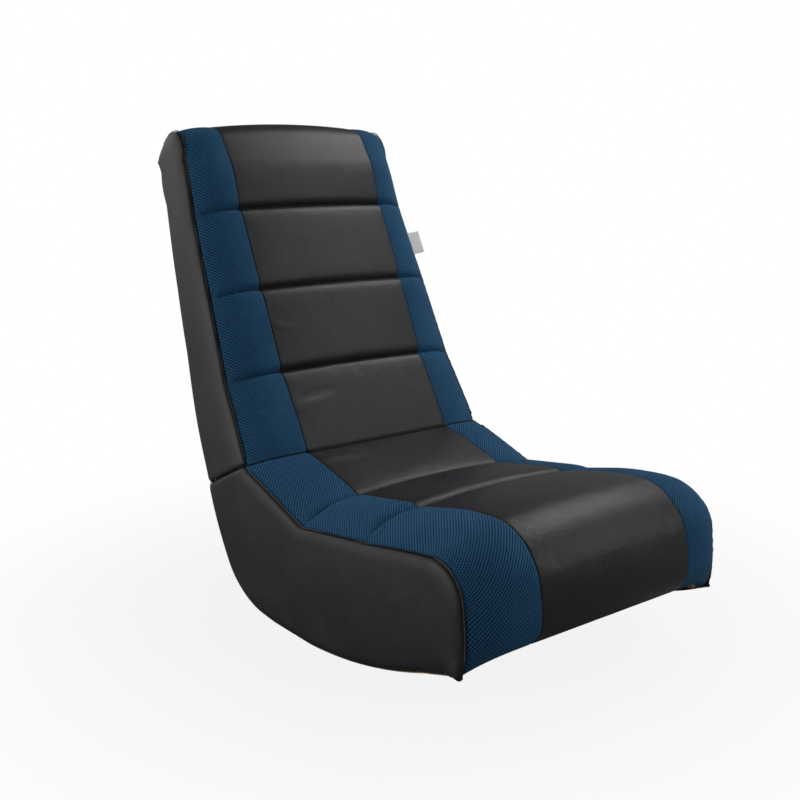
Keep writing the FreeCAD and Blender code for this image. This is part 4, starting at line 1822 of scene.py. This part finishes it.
@dataclass
class GapLining:
    """The lining over one side of the gap between seat and back, open round the hinge leaves.

    Attributes:
        section: The section whose end face it covers.
        half_width: Half its width.
        start_at: How far from the fold it starts at an x.
        leaves: The x where each hinge leaf starts and ends.
        side_view: The chair's side view.
        leaf_reach: How far from the fold the leaves reach.
        off_gap: How far it lies from the middle of the gap.
        margin: How far it stops short of the rear.
        thickness: How thick its cloth is.
    """

    section: Section
    half_width: float
    start_at: Callable[[float], float]
    leaves: Sequence[tuple[float, float]]
    side_view: SideView
    leaf_reach: float = 0.0643
    off_gap: float = 0.00055
    margin: float = 0.004
    thickness: float = 0.0006
    columns: int = 84
    rows: int = 28

    def build(self) -> bpy.types.Object:
        """The lining, with a window for each leaf.

        Returns:
            The new object.
        """
        view = self.side_view
        length = view.gap_length - self.margin
        off = -self.section.inside * self.off_gap

        def place(column: int, row: int) -> Placed:
            """The place of one point: x, then along the gap, laid flat."""
            x = self.half_width * (2.0 * column / self.columns - 1.0)
            start = self.start_at(abs(x))
            along = start + (length - start) * row / self.rows
            return Vector((x, along, 0.0)), Vector((x, along, 0.0))

        name = self.section.named("gap_lining")
        made = sheet_mesh(name, self.columns, self.rows, place, Vector((0.0, 0.0, 1.0)))
        with edited(made) as bm:
            self.cut_windows(bm)
            for vert in bm.verts:
                x, along, _ = vert.co
                y, z = step(step(view.hinge, along, view.gap_angle), off, view.gap_angle + 90.0)
                vert.co = (x, y, z)
            turn_toward(bm, Vector((0.0, 0.0, self.section.inside)))
        return made

    def cut_windows(self, bm: bmesh.types.BMesh) -> None:
        """Cut along the edges of the leaves and take the faces between them out.

        Args:
            bm: The lining, laid flat.
        """
        cuts = [((x, 0.0, 0.0), (1.0, 0.0, 0.0)) for span in self.leaves for x in span]
        cuts.append(((0.0, self.leaf_reach, 0.0), (0.0, 1.0, 0.0)))
        for point, normal in cuts:
            everything = bm.verts[:] + bm.edges[:] + bm.faces[:]
            bmesh.ops.bisect_plane(bm, geom=everything, dist=STRAIGHT, plane_co=point, plane_no=normal)
        inside = []
        for face in bm.faces:
            middle = face.calc_center_median()
            across = any(low < middle.x < high for low, high in self.leaves)
            if across and middle.y < self.leaf_reach:
                inside.append(face)
        bmesh.ops.delete(bm, geom=inside, context="FACES")

    def dress(self, piece: bpy.types.Object) -> None:
        """Give the lining its cloth.

        Args:
            piece: The lining.
        """
        thickened(piece, self.thickness, levels=0)
        dressed(piece, LINING, self.section.body, self.section.named("gap_cover"))
        flat = (2.0 * self.half_width, self.side_view.gap_length - self.margin)


@dataclass
class FoamBlock:
    """One block of foam inside the covers, from a merged copy of its solid.

    Attributes:
        section: The section that it fills.
        voxel: The size of the grid that its shape is read on.
        softening: How much its edges are softened.
        inset: How far its faces lie inside the solid's.
        unevenness: How uneven they are, and lumps how often for each metre.
    """

    section: Section
    voxel: float = 0.007
    softening: float = 0.4
    inset: float = 0.0006
    unevenness: float = 0.0004
    lumps: float = 60.0

    def build(self) -> None:
        """The block, with slightly uneven sawn faces."""
        node = self.section.named("foam_core")
        bm = bmesh.new()
        bm.from_mesh(frame["nodes"][node].data)
        bmesh.ops.remove_doubles(bm, verts=bm.verts[:], dist=JOIN)
        made = finished(self.section.named("foam_block"), bm)
        made.data.materials.clear()
        remesh = made.modifiers.new("cells", "REMESH")
        remesh.mode = "VOXEL"
        remesh.voxel_size = self.voxel
        depsgraph = bpy.context.evaluated_depsgraph_get()
        made.data = bpy.data.meshes.new_from_object(made.evaluated_get(depsgraph))
        made.modifiers.clear()
        axes = {"use_axis_" + axis: True for axis in "xyz"}
        with edited(made) as bm:
            bmesh.ops.smooth_vert(bm, verts=bm.verts[:], factor=self.softening, **axes)
            bm.normal_update()
            for vert in bm.verts:
                uneven = self.unevenness * noise.noise(vert.co * self.lumps)
                vert.co -= vert.normal * (self.inset + uneven)
            for face in bm.faces:
                face.smooth = True
        dressed(made, FOAM, self.section.body, node)


@dataclass
class SeamTag:
    """The blank ribbon loop sewn into the seam on the sitter's left.

    Attributes:
        low: Where the channel's seam starts, and high where it ends.
        seam_x: The seam's x at a height.
        length: Its size along the seam.
        reach: How far it stands out of the seam.
        sewn: How far it runs into the seam.
        apart: The distance between its two layers.
        at: Its place along the channel's seam, as a share.
        front: How far it lies in front of the seam.
        droop: How far its outer end has slid along, and wave how far it curls.
        column_length: How long one column is on the flat cloth.
        thickness: How thick its cloth is.
    """

    low: Point
    high: Point
    seam_x: Callable[[float], float]
    length: float = 0.036
    reach: float = 0.0235
    sewn: float = 0.006
    apart: float = 0.0014
    at: float = 0.50
    front: float = 0.0042
    droop: float = 0.0030
    wave: float = 0.0007
    column_length: float = 0.0018
    thickness: float = 0.0005
    columns: int = 26
    rows: int = 14

    def build(self) -> None:
        """The loop: out, round a narrow fold and back in."""
        heading = math.degrees(math.atan2(self.high[1] - self.low[1], self.high[0] - self.low[0]))
        middle = between(self.low, self.high, self.at)

        def place(column: int, row: int) -> Placed:
            """The place of one point of the ribbon."""
            along = (row / self.rows - 0.5) * self.length
            out, layer = self.profile(column / self.columns)
            share = max(0.0, out) / self.reach
            y, z = step(middle, along + self.droop * share * share, heading)
            wave = self.wave * math.sin(3.0 * row / self.rows + 2.0 * share) * share
            y, z = step((y, z), self.front + layer + wave, heading + 90.0)
            x = self.seam_x(middle[1]) + out
            return Vector((x, y, z)), Vector((column * self.column_length, along, 0.0))

        made = sheet_mesh("seam_tag", self.columns, self.rows, place, Vector((0.0, -1.0, 0.5)))
        thickened(made, self.thickness)
        dressed(made, RIBBON, Section.BACK.body, "label_tag")

    def profile(self, share: float) -> Point:
        """The ribbon seen along the seam.

        Args:
            share: How far along the ribbon, from 0 to 1.

        Returns:
            How far out of the seam it is, and how far in front of its own middle.
        """
        half = self.apart / 2.0
        straight = self.reach + self.sewn - half
        travelled = share * (2.0 * straight + math.pi * half)
        if travelled < straight:
            return (travelled - self.sewn, half)
        if travelled < straight + math.pi * half:
            turn = (travelled - straight) / half
            return (self.reach - half + half * math.sin(turn), half * math.cos(turn))
        return (self.reach - half - (travelled - straight - math.pi * half), -half)


# The whole chair
@dataclass
class Upholstery:
    """All the covers of the chair.

    Attributes:
        side_view: The chair's side view.
        seat_half_width: Half the width of the seat over its side covers.
        back_low_half_width: Half the width of the back at the fold, and back_top_half_width at its top.
        proud: How far the side covers stand out over the seams.
        stitch_lift: How far the stitches lie over the grooves, and stitches_short how many points short.
        welt_radius: The radius of the sewn roll in the fold, and welt_steps how many steps it has.
        hinge_x: Where the hinges are, left and right of the middle.
        leaf_half_width: Half the width of a leaf with its clearance.
        lining_over: How far the linings reach out over the seams.
        foot_draw: How far the strips are drawn in under the foot, and foot_draw_over within what height.
        runner_tuck: How far the seat's side covers turn in under the runners.
    """

    side_view: SideView
    seat_half_width: float
    back_low_half_width: float = 0.211
    back_top_half_width: float = 0.181
    proud: float = SIDE_PROUD
    stitch_lift: float = 0.0010
    stitches_short: int = 2
    welt_radius: float = 0.0042
    welt_steps: int = 60
    hinge_x: float = 0.080
    leaf_half_width: float = 0.0247
    lining_over: float = 0.0008
    foot_draw: float = 0.009
    foot_draw_over: float = 0.003
    runner_tuck: float = 0.014

    def seat_seam_x(self, height: float) -> float:
        """The outer seam's x on the seat."""
        return self.seat_half_width - self.proud

    def seat_strip_x(self, height: float) -> float:
        """The outer edge's x of the seat's strips, drawn in where they are tucked under."""
        below = (self.side_view.seam_foot[1] - height) / self.foot_draw_over
        return self.seat_seam_x(height) - self.foot_draw * eased(below)

    def back_half_width(self, height: float) -> float:
        """Half the width of the back at a height.

        Args:
            height: The height.

        Returns:
            Half the width over its side covers.
        """
        view = self.side_view
        top = view.top_roll[1] + view.top_roll_radius
        share = (height - view.hinge[1]) / (top - view.hinge[1])
        return self.back_low_half_width + (self.back_top_half_width - self.back_low_half_width) * share

    def back_seam_x(self, height: float) -> float:
        """The outer seam's x on the back."""
        return self.back_half_width(height) - self.proud

    def seat_quilt(self) -> Quilt:
        """The quilted front of the seat."""
        view = self.side_view
        return Quilt(
            section=Section.SEAT,
            middle=view.seat_knots(),
            seam=view.seat_seam_knots(),
            line_of=view.seat_line,
            seam_x=self.seat_strip_x,
            counts=(30, 30, 26, 28, 14, 6),
            outward=Vector((0.0, -0.5, 1.0)),
            side_view=view,
            creases=(
                Crease(-0.085, 0.034, 0.040, 0.0050, 0.0020, 0.25),
                Crease(-0.092, 0.050, 0.032, 0.0045, -0.0014, 0.25),
            ),
        )

    def back_quilt(self) -> Quilt:
        """The quilted front of the back."""
        view = self.side_view
        return Quilt(
            section=Section.BACK,
            middle=view.back_knots(),
            seam=view.back_seam_knots(),
            line_of=view.back_line,
            seam_x=self.back_seam_x,
            counts=(30, 30, 30, 20, 14, 16),
            outward=Vector((0.0, -1.0, 0.5)),
            side_view=view,
            creases=(
                Crease(-0.092, 0.066, 0.042, 0.0060, 0.0022, 0.18),
                Crease(-0.085, 0.080, 0.040, 0.0040, -0.0016, 0.15),
                Crease(-0.105, 0.190, 0.022, 0.0040, 0.0012, -0.30),
            ),
        )

    def build(self) -> None:
        """Build, swell and dress the covers."""
        view = self.side_view
        inflation = Inflation()
        quilts = [self.seat_quilt(), self.back_quilt()]
        built = [quilt.build(inflation) for quilt in quilts]
        inflation.run()
        for quilt, pieces in zip(quilts, built):
            quilt.dress(pieces)
        covers = self.side_covers()
        for cover in covers:
            edge = SeamEdge(cover.section, cover.top, cover.seam_x)
            for side in Side:
                cover.dress(cover.build(side), cover.section.named("side_cover_" + side.word))
                dressed(edge.build(side), RAW_EDGE, cover.section.body)
        rear = RearCover(view.rear_line(), self.back_half_width, covers[1].corner)
        rear.dress(rear.build())
        for quilt in quilts:
            self.stitch(quilt)
        self.build_fold()
        self.build_inside()

    def side_covers(self) -> list[SideCover]:
        """The side covers of the seat and the back, whose outer seams have no grooves.

        Returns:
            The seat's cover, then the back's.
        """
        view = self.side_view
        puff = view.edge_puff
        seat_top = view.seat_line(view.seat_seam_knots(), puff, puff, 0.0).without_end()
        back_top = view.back_line(view.back_seam_knots(), puff, puff, 0.0)
        runner = view.runner_line()
        return [
            SideCover(Section.SEAT, seat_top, runner, self.seat_seam_x, view, self.runner_tuck),
            SideCover(Section.BACK, back_top, view.rear_line(), self.back_seam_x, view, 0.0),
        ]

    def stitch(self, quilt: Quilt) -> None:
        """The stitches in the grooves of a quilt, a little above their bottoms.

        Args:
            quilt: The quilt, already built.
        """
        lift = quilt.outward.normalized() * self.stitch_lift
        paths = [[point + lift for point in path[: -self.stitches_short]] for path in quilt.grooves]
        made = Stitching().build(quilt.section.named("groove_stitches"), paths)
        dressed(made, THREAD, quilt.section.body)

    def build_fold(self) -> None:
        """The sewn welt in the fold, and the linings of the gap behind it."""
        view = self.side_view
        half = MIDDLE_HALF_WIDTH
        steps = self.welt_steps
        path = [Vector((half * (2.0 * i / steps - 1.0), *view.hinge)) for i in range(steps + 1)]
        welt = tube("fold_welt", path, Vector((0.0, 1.0, 0.0)), (self.welt_radius, self.welt_radius), 12)
        dressed(welt, LINING, Section.SEAT.body, "fold_seam")
        seam_x = self.seat_half_width - self.proud

        def start_at(x: float) -> float:
            """How far from the fold the covers meet the gap at an x."""
            share = max(0.0, (x - half) / (seam_x - half))
            return view.fold_side_drop * share**3

        leaves = [
            (middle - self.leaf_half_width, middle + self.leaf_half_width)
            for middle in (-self.hinge_x, self.hinge_x)
        ]
        widths = {Section.SEAT: seam_x, Section.BACK: self.back_seam_x(view.gap_mouth[1])}
        for section, width in widths.items():
            lining = GapLining(section, width + self.lining_over, start_at, leaves, view)
            lining.dress(lining.build())

    def build_inside(self) -> None:
        """The foam cores and the tag."""
        for section in Section:
            FoamBlock(section).build()
        seam = self.side_view.back_seam_knots()
        SeamTag(seam[2], seam[3], self.back_seam_x).build()


@dataclass
class InnerFrame:
    """The wooden frame, its fasteners and the hinges, which keep their CAD shapes.

    Attributes:
        finishes: The finish of each material slot in the record.
    """

    finishes: dict[str, Finish] = field(default_factory=lambda: {
        "plywood": PLYWOOD,
        "hardboard": HARDBOARD,
        "zinc_steel": STEEL,
        "black_lining": LINING,
        "foam": FOAM,
        "white_ribbon": RIBBON,
        "black_vinyl": VINYL,
        "blue_mesh": LINING,
    })

    def dress(self) -> None:
        """Give each CAD node the finish of its slot in the record."""
        for part in frame["record"]["subparts"]:
            node = frame["nodes"][part["node"]]
            finish = self.finishes[part["material_slot"]]
            node.data.materials.clear()
            node.data.materials.append(finish.material())
            log.info("%s: %s", node.name, finish.name)


@dataclass(frozen=True)
class Softbox:
    """A square lamp that faces the chair.

    Attributes:
        name: Its name.
        place: Where it hangs.
        size: How wide it is.
        power: Its power in watts.
        target: What it faces.
    """

    name: str
    place: Triple
    size: float
    power: float
    target: Triple = (0.0, 0.0, 0.3)

    def build(self) -> None:
        """Hang the lamp."""
        data = bpy.data.lights.new(self.name, "AREA")
        data.shape = "SQUARE"
        data.size = self.size
        data.energy = self.power
        lamp = linked(self.name, data)
        lamp.location = self.place
        toward = Vector(self.target) - Vector(self.place)
        lamp.rotation_euler = toward.to_track_quat("-Z", "Y").to_euler()


SOFTBOXES = (
    Softbox("front_softbox", (1.55, -2.0, 1.45), 1.2, 17.0),
    Softbox("top_softbox", (1.65, 0.0, 2.35), 1.0, 32.0),
    Softbox("side_softbox", (-2.4, 1.0, 0.25), 1.6, 40.0),
    Softbox("rear_softbox", (-0.9, 2.8, 1.4), 1.6, 14.0),
)


@dataclass
class Studio:
    """A pale floor, soft lamps and the camera at the photograph's angle.

    Attributes:
        camera_place: Where the camera stands.
        camera_azimuth: Its angle round the chair in degrees, and camera_elevation how far it looks down.
        lens: Its focal length in millimetres, and sensor its width.
        floor_size: How wide the floor is, and floor_drop how far it lies under the chair.
        floor_tone: How light the floor is where it lights the chair.
        floor_white: How white the camera sees it at the chair, from 0 to 1.
        horizon: The height in the world where it starts to darken, and zenith where that ends.
        overhead: How much darker the world is overhead, and glow how much light it gives.
    """

    camera_place: Triple = (-0.9335, -1.1555, 0.6213)
    camera_azimuth: float = -38.0
    camera_elevation: float = 12.66
    lens: float = 50.0
    sensor: float = 36.0
    floor_size: float = 12.0
    floor_drop: float = 0.0005
    floor_tone: float = 0.34
    floor_white: float = 0.88
    horizon: float = 0.05
    zenith: float = 0.60
    overhead: float = 0.75
    glow: float = 0.32

    def build(self) -> None:
        """Set up the whole studio."""
        self.build_floor()
        self.build_world()
        for softbox in SOFTBOXES:
            softbox.build()
        self.build_camera()

    def build_floor(self) -> None:
        """The floor, which fades to white where the camera sees it."""
        bm = bmesh.new()
        bmesh.ops.create_grid(bm, x_segments=1, y_segments=1, size=self.floor_size / 2.0)
        bmesh.ops.translate(bm, verts=bm.verts[:], vec=(0.0, 0.0, -self.floor_drop))
        floor = finished("studio_floor", bm)
        material = bpy.data.materials.new("pale_floor")
        material.use_nodes = True
        graph = Graph(material.node_tree)
        place = graph.place()
        away = graph.node("ShaderNodeVectorMath", {"operation": "LENGTH"}, {0: place}, output="Value")
        matt = graph.node("ShaderNodeBsdfDiffuse", {}, {"Color": grey(self.floor_tone)})
        white = graph.node("ShaderNodeEmission", {}, {"Color": grey(1.0), "Strength": 1.0})
        white_share = away.ramp(0.2, 0.9) * (1.0 - self.floor_white) + self.floor_white
        share = graph.camera_ray() * white_share
        mixed = graph.node("ShaderNodeMixShader", {}, {0: share, 1: matt, 2: white})
        graph.node("ShaderNodeOutputMaterial", {}, {"Surface": mixed})
        floor.data.materials.append(material)

    def build_world(self) -> None:
        """White where the camera looks, and for other light dimmer overhead than at the horizon."""
        world = bpy.data.worlds.new("studio")
        world.use_nodes = True
        bpy.context.scene.world = world
        graph = Graph(world.node_tree)
        _, _, height = graph.split(graph.place("Generated"))
        seen = graph.camera_ray()
        glow = 1.0 - height.ramp(self.horizon, self.zenith) * self.overhead
        strength = seen + (1.0 - seen) * glow * self.glow
        background = graph.node("ShaderNodeBackground", {}, {"Color": grey(1.0), "Strength": strength})
        graph.node("ShaderNodeOutputWorld", {}, {"Surface": background})

    def build_camera(self) -> None:
        """The camera, and the plain view of its colours."""
        data = bpy.data.cameras.new("photo_camera")
        data.lens = self.lens
        data.sensor_width = self.sensor
        camera = linked("photo_camera", data)
        camera.location = self.camera_place
        tilt = math.radians(90.0 - self.camera_elevation)
        camera.rotation_euler = (tilt, 0.0, math.radians(self.camera_azimuth))
        bpy.context.scene.camera = camera
        bpy.context.scene.view_settings.view_transform = "Standard"


def main() -> None:
    """Build the chair's looks and the studio round it."""
    logging.basicConfig(level=logging.INFO, format="%(message)s")
    joint = frame["joints"][0]
    side_view = SideView(hinge=(joint["pos_m"][1], joint["pos_m"][2]))
    seat_half_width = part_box("seat_side_cover_left")[1].x
    InnerFrame().dress()
    Upholstery(side_view, seat_half_width).build()
    Studio().build()


if __name__ == "__main__":
    main()
